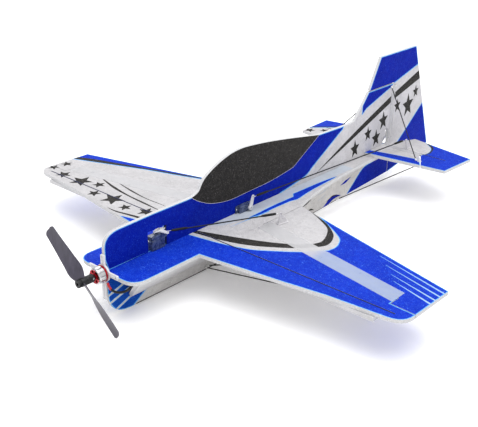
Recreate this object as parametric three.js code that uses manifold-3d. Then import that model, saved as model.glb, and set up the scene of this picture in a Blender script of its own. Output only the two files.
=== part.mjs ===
// A radio-controlled aerobatic aeroplane cut from 6 mm foam sheet: two crossed fuselage plates, a flat wing,
// a flat tail, carbon bracing, an outrunner motor and four servo-driven control surfaces.
//
// Units are millimetres. In the builder's own datum, used by every number below, X = 0 is the centre of the
// fuselage and +X the aeroplane's left wing, Y = 0 is the wing spar with the nose towards -Y, and Z = 0 is
// the top face of the wing sheet. The exported group moves that datum so that the origin is the middle of the
// bounding box, on the surface that the keel rests on.

import * as THREE from "three";
import { mergeVertices } from "three/addons/utils/BufferGeometryUtils.js";
import Module from "manifold-3d";

const wasm = await Module();
wasm.setup();

// ---- Driving dimensions ----
const SHEET = 6; // foam thickness
const HALF = SHEET / 2;
const GAP = 0.3; // glue line left between pieces that touch
const SEAM = 1.2; // open saw cut beside a moving surface

const HALF_SPAN = 400;
const TIP_LE_Y = -12;
const TIP_TE_Y = 103.3;
const WING_ROOT_LE = { x: 63.5, y: -54.3 };
const WING_ROOT_TE = { x: 63, y: 193 };
const NOSE_Y = -187;
const NOSE_HALF_WIDTH = 64.4;
const REAR_DECK_END_Y = 528;

const AILERON_ROOT_X = 66;
const AILERON_BALANCE_X = 359;
const AILERON_HINGE_TIP_Y = 40.5;
const AILERON_SWEEP = 0.181; // how far the hinge line goes back for each millimetre inboard
const AILERON_BALANCE_LE_Y = 19.5;
const AILERON_BALANCE_SWEEP = 0.06;

const STAB_ROOT_LE_Y = 472;
const STAB_SWEEP = 0.125;
const STAB_BOTTOM = GAP;
const STAB_TOP = STAB_BOTTOM + SHEET;
const STAB_TIP_X = 169;
const STAB_SEAM_OUTER_X = 121;
const STAB_SEAM_INNER_X = 91;
const ELEVATOR_HINGE_Y = 537;
const ELEVATOR_TE = { x: 174, y: 583, rootX: 33.5, rootY: 609.5 };

const RUDDER_HINGE_Y = 560;
const RUDDER_BALANCE_Z = 130;
const RUDDER_TOP_Z = 191;
const RUDDER_TE = { topY: 633, lowY: 713, lowZ: -35 };

const KEEL_BOTTOM = -78;
const KEEL_STRIP = 1; // thickness of the carbon strip under the keel
const KEEL_STRIP_WIDTH = 3;

const TAPE = { thickness: 0.3, aileronWidth: 32, tailWidth: 14 };

const MOTOR = {
  z: -2,
  baseBack: -190.6,
  baseFront: -193.8,
  bellBack: -194.3,
  bellFront: -206.6,
  radius: 13,
};
const PROP = {
  y: -227.5,
  radius: 94.5,
  rootChord: 13,
  chord: 26.5,
  pitch: 85,
  hubRadius: 6.6,
  bladeAngle: 50,
  boltFront: -237,
};

const SERVO = {
  length: 27,
  width: 12.4,
  height: 22.8,
  shaftFromEnd: 6.5,
  earOut: 5,
  earThickness: 1.6,
  earLevel: 15.6,
};
const AILERON_SERVO = { y: -77, armZ: 28, armRadius: 16, armSweep: 6.9 };
const ELEVATOR_SERVO = { x: 15.2, y: 118, z: 6.6 };
const ELEVATOR_THROW = { back: 6, up: 19 }; // from each pivot to its pushrod end
const ELEVATOR_HORN_X = 52;
const RUDDER_SERVO = { x: -9.4, y: 150, armZ: 28 };
const RUDDER_THROW = { out: 20, back: 10 };
const RUDDER_HORN_Z = 48;
const AILERON_HORN = { x: 80, back: 24, up: 18 };
const ROD = { radius: 0.9, wireRadius: 0.5, lap: 14, side: 1.75, standOff: 2.4 };

const LENGTH_FRONT = PROP.boltFront;
const LENGTH_REAR = RUDDER_TE.lowY;
const LOWEST = KEEL_BOTTOM - GAP - KEEL_STRIP;

// ---- Materials ----
const MATERIALS = {
  foam_blue: new THREE.MeshStandardMaterial({ color: 0x1a2fc4, roughness: 0.85 }),
  foam_white: new THREE.MeshStandardMaterial({ color: 0xe6e5ea, roughness: 0.9 }),
  tape: new THREE.MeshStandardMaterial({ color: 0xb9c9ea, roughness: 0.45 }),
  carbon: new THREE.MeshStandardMaterial({ color: 0x222326, roughness: 0.5 }),
  white_plastic: new THREE.MeshStandardMaterial({ color: 0xe9e9e4, roughness: 0.5 }),
  servo_case: new THREE.MeshStandardMaterial({ color: 0x3a4b6e, roughness: 0.3 }),
  prop_plastic: new THREE.MeshStandardMaterial({ color: 0x4a4a55, roughness: 0.5 }),
  dark_metal: new THREE.MeshStandardMaterial({ color: 0x2b2b2f, roughness: 0.4, metalness: 0.6 }),
  bright_metal: new THREE.MeshStandardMaterial({ color: 0xc4c6c9, roughness: 0.25, metalness: 1 }),
  red_metal: new THREE.MeshStandardMaterial({ color: 0x9c1026, roughness: 0.35, metalness: 0.8 }),
  black_wire: new THREE.MeshStandardMaterial({ color: 0x141414, roughness: 0.5 }),
  electronics: new THREE.MeshStandardMaterial({ color: 0x2f4a37, roughness: 0.5 }),
};

// ---- Solids ----
function solidOf(geometry) {
  const bare = new THREE.BufferGeometry().setAttribute("position", geometry.getAttribute("position"));
  if (geometry.index) bare.setIndex(geometry.index);
  const merged = mergeVertices(bare, 1e-4);
  return new wasm.Manifold(
    new wasm.Mesh({
      numProp: 3,
      vertProperties: new Float32Array(merged.attributes.position.array),
      triVerts: new Uint32Array(merged.index.array),
    }),
  );
}

function geometryOf(solid) {
  const mesh = solid.getMesh();
  const positions = new Float32Array(mesh.numVert * 3);
  for (let i = 0; i < mesh.numVert; i++) {
    positions.set(mesh.vertProperties.subarray(i * mesh.numProp, i * mesh.numProp + 3), i * 3);
  }
  const indexed = new THREE.BufferGeometry()
    .setAttribute("position", new THREE.BufferAttribute(positions, 3))
    .setIndex(new THREE.BufferAttribute(new Uint32Array(mesh.triVerts), 1));
  const faceted = indexed.toNonIndexed();
  faceted.computeVertexNormals();
  return faceted;
}

function cut(base, ...tools) {
  return geometryOf(tools.reduce((left, tool) => left.subtract(solidOf(tool)), solidOf(base)));
}

function join(...parts) {
  return geometryOf(parts.slice(1).reduce((sum, part) => sum.add(solidOf(part)), solidOf(parts[0])));
}

function box(x0, x1, y0, y1, z0, z1) {
  return new THREE.BoxGeometry(x1 - x0, y1 - y0, z1 - z0)
    .translate((x0 + x1) / 2, (y0 + y1) / 2, (z0 + z1) / 2);
}

// A round bar between two points.
function bar(from, to, radius, sides = 8) {
  const start = new THREE.Vector3(...from);
  const along = new THREE.Vector3(...to).sub(start);
  const upward = new THREE.Vector3(0, 1, 0);
  const turn = new THREE.Quaternion().setFromUnitVectors(upward, along.clone().normalize());
  const middle = start.clone().addScaledVector(along, 0.5);
  return new THREE.CylinderGeometry(radius, radius, along.length(), sides)
    .applyQuaternion(turn)
    .translate(middle.x, middle.y, middle.z);
}

function tubeAlong(points, radius, steps, sides = 8) {
  const stations = points.map((p) => new THREE.Vector3(...p));
  const curve = new THREE.CatmullRomCurve3(stations, false, "centripetal");
  const section = new THREE.Shape();
  for (let i = 0; i < sides; i++) {
    const angle = (2 * Math.PI * i) / sides;
    section[i ? "lineTo" : "moveTo"](radius * Math.cos(angle), radius * Math.sin(angle));
  }
  return new THREE.ExtrudeGeometry(section, { steps, extrudePath: curve, bevelEnabled: false });
}

// ---- Flat outlines ----
// Each point is [a, b] or [a, b, corner radius]; a rounded corner is one quadratic curve.
function outline(points) {
  const shape = new THREE.Shape();
  const count = points.length;
  points.forEach(([a, b, radius = 0], i) => {
    const here = new THREE.Vector2(a, b);
    const before = new THREE.Vector2(...points[(i + count - 1) % count].slice(0, 2)).sub(here).normalize();
    const after = new THREE.Vector2(...points[(i + 1) % count].slice(0, 2)).sub(here).normalize();
    const enter = here.clone().addScaledVector(before, radius);
    shape[i ? "lineTo" : "moveTo"](enter.x, enter.y);
    if (radius) {
      const leave = here.clone().addScaledVector(after, radius);
      shape.quadraticCurveTo(here.x, here.y, leave.x, leave.y);
    }
  });
  return shape;
}

const CURVE_STEPS = 6;

// A level sheet between two heights, from an outline in (x, y).
function level(shape, bottom, top) {
  const settings = { depth: top - bottom, bevelEnabled: false, curveSegments: CURVE_STEPS };
  return new THREE.ExtrudeGeometry(shape, settings).translate(0, 0, bottom);
}

// An upright sheet between two places across the fuselage, from an outline in (y, z).
function upright(shape, right, left) {
  const settings = { depth: left - right, bevelEnabled: false, curveSegments: CURVE_STEPS };
  return new THREE.ExtrudeGeometry(shape, settings)
    .applyMatrix4(new THREE.Matrix4().makeBasis(
      new THREE.Vector3(0, 1, 0),
      new THREE.Vector3(0, 0, 1),
      new THREE.Vector3(1, 0, 0),
    ))
    .translate(right, 0, 0);
}

// A closed block with eight free corners: four at one end, then the four they join at the other.
function block(near, far) {
  const corners = [...near, ...far].flat();
  const faces = [[0, 2, 1], [0, 3, 2], [4, 5, 6], [4, 6, 7]];
  for (let i = 0; i < 4; i++) {
    const j = (i + 1) % 4;
    faces.push([i, j, j + 4], [i, j + 4, i + 4]);
  }
  const geometry = new THREE.BufferGeometry()
    .setAttribute("position", new THREE.BufferAttribute(new Float32Array(corners), 3))
    .setIndex(faces.flat());
  const solid = solidOf(geometry);
  if (solid.volume() > 0) return geometry.toNonIndexed();
  return geometry.setIndex(faces.map(([a, b, c]) => [a, c, b]).flat()).toNonIndexed();
}

const mirrorPoints = (points) => points.map(([x, ...rest]) => [-x, ...rest]).reverse();
const mirrored = (geometry) => geometryOf(solidOf(geometry).mirror([1, 0, 0]));

// ---- Assembly ----
const aeroplane = new THREE.Group();
aeroplane.name = "foam_aeroplane";
aeroplane.position.set(0, -(LENGTH_FRONT + LENGTH_REAR) / 2, -LOWEST);

function add(name, geometry, material) {
  const mesh = new THREE.Mesh(geometry, MATERIALS[material]);
  mesh.name = name;
  aeroplane.add(mesh);
  return mesh;
}

const hingeY = (x) => AILERON_HINGE_TIP_Y + (AILERON_BALANCE_X - x) * AILERON_SWEEP;
const hingeAngle = Math.atan(AILERON_SWEEP);

// ---- Wing ----
// The opening that the aileron sits in, and the aileron itself, share this outline: grow is the saw cut.
function aileronOutline(grow) {
  const rootX = AILERON_ROOT_X - grow;
  const balanceX = AILERON_BALANCE_X - grow;
  const beyond = grow ? 20 : 0;
  const tipX = HALF_SPAN + beyond;
  return [
    [rootX, hingeY(rootX) - grow],
    [balanceX, hingeY(balanceX) - grow],
    [balanceX, AILERON_BALANCE_LE_Y - grow],
    [tipX, AILERON_BALANCE_LE_Y - (tipX - AILERON_BALANCE_X) * AILERON_BALANCE_SWEEP - grow],
    [tipX, TIP_TE_Y + beyond],
    [rootX, WING_ROOT_TE.y + beyond],
  ];
}

function wingPlate() {
  const leftHalf = [
    [NOSE_HALF_WIDTH, NOSE_Y, 26],
    [WING_ROOT_LE.x, WING_ROOT_LE.y],
    [197.5, -36],
    [278.2, -23],
    [HALF_SPAN, TIP_LE_Y, 26],
    [HALF_SPAN, TIP_TE_Y],
    [WING_ROOT_TE.x, WING_ROOT_TE.y],
    [50, 240],
    [39, 292],
    [30, 365],
    [26, 430],
    [24, REAR_DECK_END_Y],
  ];
  const sheet = level(outline([...leftHalf, ...mirrorPoints(leftHalf)]), -SHEET, 0);
  const leftOpening = level(outline(aileronOutline(SEAM)), -SHEET - 1, 1);
  return cut(sheet, leftOpening, mirrored(leftOpening), ...sparGroove());
}

// The carbon spar lies flush in a groove in the wing's top face.
const SPAR = { halfLength: 378, width: 2, depth: 1 };
function sparGroove() {
  const { halfLength, width, depth } = SPAR;
  return [box(-halfLength - GAP, halfLength + GAP, -width / 2 - GAP, width / 2 + GAP, -depth - GAP, 1)];
}

// The hinge edge is cut back at 45 degrees underneath, so that the surface can go down.
function aileron() {
  const sheet = level(outline(aileronOutline(0)), -SHEET, 0);
  const bevel = block(
    [
      [AILERON_ROOT_X - 5, hingeY(AILERON_ROOT_X - 5) - 1, 0],
      [AILERON_ROOT_X - 5, hingeY(AILERON_ROOT_X - 5) - 1, -SHEET - 2],
      [AILERON_ROOT_X - 5, hingeY(AILERON_ROOT_X - 5) + SHEET + 2, -SHEET - 2],
      [AILERON_ROOT_X - 5, hingeY(AILERON_ROOT_X - 5) + SHEET + 1.99, -SHEET - 2],
    ],
    [
      [AILERON_BALANCE_X, hingeY(AILERON_BALANCE_X) - 1, 0],
      [AILERON_BALANCE_X, hingeY(AILERON_BALANCE_X) - 1, -SHEET - 2],
      [AILERON_BALANCE_X, hingeY(AILERON_BALANCE_X) + SHEET + 2, -SHEET - 2],
      [AILERON_BALANCE_X, hingeY(AILERON_BALANCE_X) + SHEET + 1.99, -SHEET - 2],
    ],
  );
  return cut(sheet, bevel);
}

function aileronTape() {
  const inner = 180;
  const back = AILERON_BALANCE_X - 2;
  const half = TAPE.aileronWidth / 2;
  const strip = outline([
    [AILERON_ROOT_X, hingeY(AILERON_ROOT_X) - half],
    [inner, hingeY(inner) - half],
    [back, hingeY(back) - half],
    [back, hingeY(back) - GAP],
    [AILERON_ROOT_X, hingeY(AILERON_ROOT_X) - GAP],
  ]);
  return level(strip, GAP / 2, GAP / 2 + TAPE.thickness);
}

function wingDoubler() {
  const strip = outline([[110, -18], [357, -20], [357, 8], [110, 8]]);
  return level(strip, -2 * SHEET - GAP, -SHEET - GAP);
}

function buildWing() {
  add("wing_plate", wingPlate(), "foam_blue");
  add("aileron_left", aileron(), "foam_blue");
  add("aileron_right", mirrored(aileron()), "foam_white");
  add("wing_doubler_left", wingDoubler(), "foam_white");
  add("wing_doubler_right", mirrored(wingDoubler()), "foam_white");
  add("aileron_tape_left", aileronTape(), "tape");
  add("aileron_tape_right", mirrored(aileronTape()), "tape");
  const { halfLength, width, depth } = SPAR;
  add("wing_spar", box(-halfLength, halfLength, -width / 2, width / 2, -depth, 0), "carbon");
}

// ---- Fuselage ----
function upperOutline() {
  const shape = new THREE.Shape();
  shape.moveTo(-181, GAP);
  shape.lineTo(-187, 18);
  shape.lineTo(-187.3, 36);
  shape.quadraticCurveTo(-187, 57, -162, 59.3);
  shape.lineTo(-90, 61);
  shape.lineTo(-14, 60.8);
  shape.quadraticCurveTo(-2, 61, 8, 67.5);
  shape.splineThru([
    new THREE.Vector2(23, 86),
    new THREE.Vector2(61, 104),
    new THREE.Vector2(102, 112),
    new THREE.Vector2(154, 108.5),
    new THREE.Vector2(222, 98.8),
    new THREE.Vector2(318, 82),
  ]);
  shape.lineTo(403, 79.5);
  shape.lineTo(429, 80.5);
  shape.quadraticCurveTo(450, 100, 472, RUDDER_BALANCE_Z - SEAM);
  shape.lineTo(RUDDER_HINGE_Y - SEAM, RUDDER_BALANCE_Z - SEAM);
  shape.lineTo(RUDDER_HINGE_Y - SEAM, GAP);
  return shape;
}

function fuselageUpper() {
  const { length, width, shaftFromEnd, earOut } = SERVO;
  const aileronEnd = AILERON_SERVO.y + shaftFromEnd + earOut + 1;
  const elevatorEnd = ELEVATOR_SERVO.y + shaftFromEnd;
  const aileronBay = box(-HALF - 1, HALF + 1, aileronEnd - length - 2 * earOut - 2, aileronEnd, -1, 34);
  const elevatorBay = box(
    -HALF - 1, HALF + 1,
    elevatorEnd - length - 0.5, elevatorEnd + 0.5,
    -1, ELEVATOR_SERVO.z + width / 2 + 0.5,
  );
  const stabSlot = box(-HALF - 1, HALF + 1, STAB_ROOT_LE_Y - 1, ELEVATOR_HINGE_Y + 15, -1, STAB_TOP + GAP);
  const elevatorWindow = upright(
    outline([[528.5, STAB_TOP], [554.5, STAB_TOP], [552.5, 34], [544, 40]]),
    -HALF - 1,
    HALF + 1,
  );
  return cut(upright(upperOutline(), -HALF, HALF), aileronBay, elevatorBay, stabSlot, elevatorWindow);
}

function keelOutline() {
  const top = -SHEET - GAP;
  const post = ELEVATOR_HINGE_Y + 16;
  return outline([
    [-185.5, top],
    [-185.5, KEEL_BOTTOM, 42],
    [20, KEEL_BOTTOM],
    [315, -72],
    [430, -66.2],
    [RUDDER_HINGE_Y - SEAM, -59],
    [RUDDER_HINGE_Y - SEAM, 0],
    [post, 0],
    [post, top],
  ]);
}

// A slanted sheet from the edge of the nose deck to the keel, one on each side.
function sidePanel() {
  const top = -SHEET - GAP;
  const inner = HALF + GAP;
  const front = [
    [60, -172, top],
    [inner, -143, -61],
    [inner, -146, -53.5],
    [53, -176, top],
  ];
  const rear = [
    [60, 112, top],
    [inner, 112, -61],
    [inner, 112, -53.5],
    [53, 112, top],
  ];
  return block(front, rear);
}

// The strip follows the flat of the keel and then its rising rear edge.
function keelStrip() {
  const low = KEEL_BOTTOM - GAP;
  const rise = (y, z) => [y, z - GAP];
  const underside = [[-132, low], [20, low], rise(315, -72), rise(384, -68.5)];
  const lower = underside.map(([y, z]) => [y, z - KEEL_STRIP]).reverse();
  return upright(outline([...underside, ...lower]), -KEEL_STRIP_WIDTH / 2, KEEL_STRIP_WIDTH / 2);
}

function buildFuselage() {
  add("fuselage_upper", fuselageUpper(), "foam_blue");
  add("fuselage_keel", upright(keelOutline(), -HALF, HALF), "foam_white");
  add("side_panel_left", sidePanel(), "foam_white");
  add("side_panel_right", mirrored(sidePanel()), "foam_white");
  add("keel_strip", keelStrip(), "carbon");
}

// ---- Tail ----
const stabLeY = (x) => STAB_ROOT_LE_Y + Math.abs(x) * STAB_SWEEP;

function stabilizer() {
  const half = [
    [STAB_SEAM_OUTER_X - SEAM, stabLeY(STAB_SEAM_OUTER_X - SEAM)],
    [STAB_SEAM_INNER_X - 2.5 * SEAM, ELEVATOR_HINGE_Y - SEAM / 2],
  ];
  const shape = outline([[0, STAB_ROOT_LE_Y], ...half, ...mirrorPoints(half)]);
  return level(shape, STAB_BOTTOM, STAB_TOP);
}

function elevator() {
  const hinge = ELEVATOR_HINGE_Y + GAP;
  const half = [
    [9, hinge + 10],
    [ELEVATOR_TE.rootX, ELEVATOR_TE.rootY],
    [ELEVATOR_TE.x, ELEVATOR_TE.y],
    [STAB_TIP_X, stabLeY(STAB_TIP_X)],
    [STAB_SEAM_OUTER_X, stabLeY(STAB_SEAM_OUTER_X)],
    [STAB_SEAM_INNER_X, hinge],
  ];
  const sheet = level(outline([...mirrorPoints(half), ...half].reverse()), STAB_BOTTOM, STAB_TOP);
  const across = STAB_SEAM_INNER_X - 0.4;
  const bevel = [
    [hinge - 1, STAB_TOP],
    [hinge - 1, STAB_BOTTOM - 2],
    [hinge + SHEET + 2, STAB_BOTTOM - 2],
  ];
  const groove = box(
    -ELEVATOR_STRIP.halfLength - GAP, ELEVATOR_STRIP.halfLength + GAP,
    ELEVATOR_STRIP.y - GAP, ELEVATOR_STRIP.y + ELEVATOR_STRIP.width + GAP,
    STAB_TOP - ELEVATOR_STRIP.depth - GAP, STAB_TOP + 1,
  );
  return cut(sheet, upright(outline(bevel), -across, across), groove);
}

const ELEVATOR_STRIP = { halfLength: 142, y: 541, width: 2, depth: 1 };

function rudder() {
  const hinge = RUDDER_HINGE_Y + GAP;
  const shape = outline([
    [hinge, -59.5],
    [RUDDER_TE.lowY, RUDDER_TE.lowZ],
    [RUDDER_TE.topY, RUDDER_TOP_Z],
    [507, RUDDER_TOP_Z],
    [475, RUDDER_BALANCE_Z + 1],
    [hinge, RUDDER_BALANCE_Z + 1],
  ]);
  const bevel = outline([
    [HALF, hinge - 1],
    [-HALF - 2, hinge - 1],
    [-HALF - 2, hinge + SHEET + 2],
  ]);
  return cut(upright(shape, -HALF, HALF), level(bevel, -70, RUDDER_BALANCE_Z));
}

function elevatorTape() {
  const half = TAPE.tailWidth / 2;
  const across = STAB_SEAM_INNER_X - 3;
  const shape = outline([
    [HALF + GAP, ELEVATOR_HINGE_Y - half],
    [across, ELEVATOR_HINGE_Y - half],
    [across, ELEVATOR_HINGE_Y - SEAM],
    [HALF + GAP, ELEVATOR_HINGE_Y - SEAM],
  ]);
  return level(shape, STAB_TOP + GAP / 2, STAB_TOP + GAP / 2 + TAPE.thickness);
}

function rudderTape() {
  const half = TAPE.tailWidth / 2;
  return box(
    HALF + GAP / 2, HALF + GAP / 2 + TAPE.thickness,
    RUDDER_HINGE_Y - half, RUDDER_HINGE_Y - SEAM,
    STAB_TOP + 8, RUDDER_BALANCE_Z - 3,
  );
}

function buildTail() {
  add("stabilizer", stabilizer(), "foam_blue");
  add("elevator", elevator(), "foam_blue");
  add("rudder", rudder(), "foam_blue");
  add("elevator_tape_left", elevatorTape(), "tape");
  add("elevator_tape_right", mirrored(elevatorTape()), "tape");
  add("rudder_tape", rudderTape(), "tape");
  const { halfLength, y, width, depth } = ELEVATOR_STRIP;
  add("elevator_strip", box(-halfLength, halfLength, y, y + width, STAB_TOP - depth, STAB_TOP), "carbon");
}

// ---- Carbon bracing ----
// Each rod is given for the left side and mirrored. Its ends stop just clear of the foam they are glued to.
const BRACE_RADIUS = 0.8;
const BRACES = {
  fin_brace: [[HALF + 1.2, 549, 125], [103, 500, STAB_TOP + 1.4]],
  stab_brace: [[HALF + 1.4, 384, -66.5], [106, 500, STAB_BOTTOM - 1.4]],
  wing_brace_front: [[HALF + 1.4, 20, -73], [250, -6, -2 * SHEET - GAP - 1.4]],
  wing_brace_rear: [[HALF + 1.4, 24, -71], [190, 52, -SHEET - 1.4]],
};

function buildBraces() {
  for (const [name, [inner, outer]] of Object.entries(BRACES)) {
    const rod = bar(inner, outer, BRACE_RADIUS);
    add(`${name}_left`, rod, "carbon");
    add(`${name}_right`, mirrored(rod), "carbon");
  }
}

// ---- Motor and propeller ----
// Lathed pieces turn about the thrust line; each profile is [radius, distance forward of y = 0].
function turned(profile, sides = 24) {
  return new THREE.LatheGeometry(profile.map(([r, y]) => new THREE.Vector2(r, y)), sides)
    .translate(0, 0, MOTOR.z);
}

function motorMount() {
  const back = NOSE_Y - GAP;
  const front = MOTOR.baseBack + GAP;
  const mast = box(-4, 4, front, back, -46, 27.5);
  const arms = box(-32, 32, front, back, MOTOR.z - 1.5, MOTOR.z + 5.5);
  const disc = new THREE.CylinderGeometry(13.8, 13.8, back - front, 20)
    .translate(0, (front + back) / 2, MOTOR.z);
  return join(mast, arms, disc);
}

function motorBase() {
  const { baseBack, baseFront, radius } = MOTOR;
  const rim = radius + 0.2;
  const section = [
    [0, baseFront],
    [rim, baseFront],
    [rim, baseBack - 1.2],
    [rim - 1.7, baseBack],
    [0, baseBack],
  ];
  return turned(section);
}

function motorBell() {
  const { bellBack, bellFront, radius, z } = MOTOR;
  const can = turned([
    [0, bellFront],
    [5.6, bellFront - 0.6],
    [9.8, bellFront],
    [radius, bellFront + 2.4],
    [radius, bellBack],
    [0, bellBack],
  ]);
  const vents = [];
  for (let i = 0; i < 6; i++) {
    const angle = (i * Math.PI) / 3;
    vents.push(new THREE.CylinderGeometry(2.1, 2.1, 6, 10)
      .translate(8.7 * Math.cos(angle), bellFront, z + 8.7 * Math.sin(angle)));
  }
  return cut(can, ...vents);
}

function propAdapter() {
  const back = MOTOR.bellFront - 0.6 - GAP;
  const front = PROP.y + 4.5;
  return turned([[0, front], [6.2, front], [6.2, back - 2.5], [4.5, back - 1], [4.5, back], [0, back]]);
}

// One blade is a stack of flattened aerofoil sections, each set at its helix angle.
function blade() {
  const stations = 12;
  const around = 12;
  const points = [];
  const rootRadius = 3;
  for (let s = 0; s <= stations; s++) {
    const share = Math.sin(((s / stations) * Math.PI) / 2);
    const radius = rootRadius + (PROP.radius - rootRadius) * share;
    const chord = bladeChord(share);
    const thick = 3.4 * (1 - share) + 0.9;
    const helix = Math.min(Math.atan(PROP.pitch / (2 * Math.PI * radius)), 0.5);
    for (let i = 0; i < around; i++) {
      const angle = (2 * Math.PI * i) / around;
      const along = (chord / 2) * Math.cos(angle);
      const up = (thick / 2) * Math.sin(angle) * (0.75 + 0.25 * Math.cos(angle));
      const sweep = along * Math.cos(helix) - up * Math.sin(helix);
      const lift = along * Math.sin(helix) + up * Math.cos(helix);
      points.push([sweep, lift, radius]);
    }
  }
  return stack(points, around, stations);
}

function bladeChord(share) {
  const swell = Math.sin(Math.min(share / 0.2, 1) * (Math.PI / 2));
  const taper = 1 - 0.13 * Math.max(0, (share - 0.5) / 0.5);
  const corner = Math.sqrt(1 - 0.75 * Math.pow(Math.max(0, (share - 0.95) / 0.05), 2));
  return (PROP.rootChord + (PROP.chord - PROP.rootChord) * swell) * taper * corner;
}

// Closes a stack of rings into one body.
function stack(points, around, rings) {
  const faces = [];
  for (let s = 0; s < rings; s++) {
    for (let i = 0; i < around; i++) {
      const a = s * around + i;
      const b = s * around + ((i + 1) % around);
      faces.push(a, b, b + around, a, b + around, a + around);
    }
  }
  for (let i = 1; i < around - 1; i++) {
    faces.push(0, i + 1, i);
    const last = rings * around;
    faces.push(last, last + i, last + i + 1);
  }
  return new THREE.BufferGeometry()
    .setAttribute("position", new THREE.BufferAttribute(new Float32Array(points.flat()), 3))
    .setIndex(faces);
}

function propeller() {
  const up = blade();
  const down = blade().rotateY(Math.PI);
  const hub = new THREE.CylinderGeometry(PROP.hubRadius, PROP.hubRadius, 8.4, 20);
  return join(hub, up, down)
    .rotateY(THREE.MathUtils.degToRad(-PROP.bladeAngle))
    .translate(0, PROP.y, MOTOR.z);
}

function propBolt() {
  const back = PROP.y - 4.2 - GAP;
  const front = PROP.boltFront;
  const cap = turned([[0, front], [5.2, front], [6.4, front + 1.4], [6.4, back - 1], [5.6, back], [0, back]]);
  const socket = new THREE.CylinderGeometry(2.3, 2.3, 8, 6).translate(0, front, MOTOR.z);
  return cut(cap, socket);
}

// Three wires side by side leave the stator, drop below the nose deck and turn back into the left duct.
function motorLeads() {
  const wire = 1.3;
  const edge = (side) => [2, 1, 0, -1, -2].map((k) => [side * wire * (k % 2 ? 0.6 : 1), k * wire]);
  const section = outline([...edge(-1).reverse(), ...edge(1)]);
  const route = [
    [12.2, -192.4, -13.4], [15.5, -192.8, -18], [20.5, -192, -22], [27, -188, -24.8], [33.5, -181, -24.6],
    [37, -173, -21.5], [35, -166, -17.5], [29, -158, -15.5], [20, -150, -16.5], [9, -144.5, -18],
  ];
  const stations = route.map((p) => new THREE.Vector3(...p));
  const curve = new THREE.CatmullRomCurve3(stations, false, "centripetal");
  const settings = { steps: 36, curveSegments: 2, extrudePath: curve, bevelEnabled: false };
  return new THREE.ExtrudeGeometry(section, settings);
}

function buildPower() {
  add("motor_mount", motorMount(), "white_plastic");
  add("motor_base", motorBase(), "red_metal");
  add("motor_bell", motorBell(), "bright_metal");
  add("prop_adapter", propAdapter(), "dark_metal");
  add("propeller", propeller(), "prop_plastic");
  add("prop_bolt", propBolt(), "dark_metal");
  add("motor_leads", motorLeads(), "black_wire");
  const side = HALF + 0.6;
  add("speed_controller", box(side, side + 6.5, -141.5, -106, -31, -9), "electronics");
  add("receiver", box(side, side + 8, -70, -38, -30, -10), "electronics");
  add("battery", box(-side - 11.5, -side, -121, -63, -38, -8), "electronics");
}

// ---- Servos ----
// A servo stands on its base with its shaft pointing up, its shaft on the local Z axis, and its long side
// running forward from the shaft.
function servoBody() {
  const { length, width, height, shaftFromEnd, earOut, earThickness, earLevel } = SERVO;
  const back = shaftFromEnd;
  const front = back - length;
  const half = width / 2;
  const body = box(-half, half, front, back, 0, height);
  const ears = box(-half, half, front - earOut, back + earOut, earLevel, earLevel + earThickness);
  const tower = new THREE.CylinderGeometry(half - 0.4, half - 0.4, 3, 20)
    .rotateX(Math.PI / 2)
    .translate(0, 0, height);
  const spline = new THREE.CylinderGeometry(2, 2, 5, 12).rotateX(Math.PI / 2).translate(0, 0, height + 1);
  const holes = [front - earOut / 2, back + earOut / 2].map((y) =>
    new THREE.CylinderGeometry(1, 1, 4, 10).rotateX(Math.PI / 2).translate(0, y, earLevel));
  return cut(join(body, ears, tower, spline), ...holes);
}

const SERVO_TOP = SERVO.height + 3.5;

// A tapered lever in the XY plane, from a round boss at the origin to a small round end with a hole.
function lever(length, bossRadius, endRadius, thickness, holeRadius) {
  const lean = Math.asin((bossRadius - endRadius) / length);
  const shape = new THREE.Shape();
  shape.absarc(0, 0, bossRadius, Math.PI / 2 - lean, 1.5 * Math.PI + lean, false);
  shape.absarc(length, 0, endRadius, -Math.PI / 2 + lean, Math.PI / 2 - lean, false);
  shape.closePath();
  const hole = new THREE.Path();
  hole.absarc(length, 0, holeRadius, 0, 2 * Math.PI, true);
  shape.holes.push(hole);
  return new THREE.ExtrudeGeometry(shape, { depth: thickness, bevelEnabled: false, curveSegments: 8 })
    .translate(0, 0, -thickness / 2);
}

const ARM = { boss: 3.8, end: 2.2, thickness: 1.8, hole: 1 };

function servoArm(length) {
  return lever(length, ARM.boss, ARM.end, ARM.thickness, ARM.hole);
}

function aileronArm() {
  const sweep = THREE.MathUtils.degToRad(AILERON_SERVO.armSweep);
  const left = servoArm(AILERON_SERVO.armRadius).rotateZ(sweep);
  const right = servoArm(AILERON_SERVO.armRadius).rotateZ(Math.PI - sweep);
  return join(left, right);
}

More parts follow.
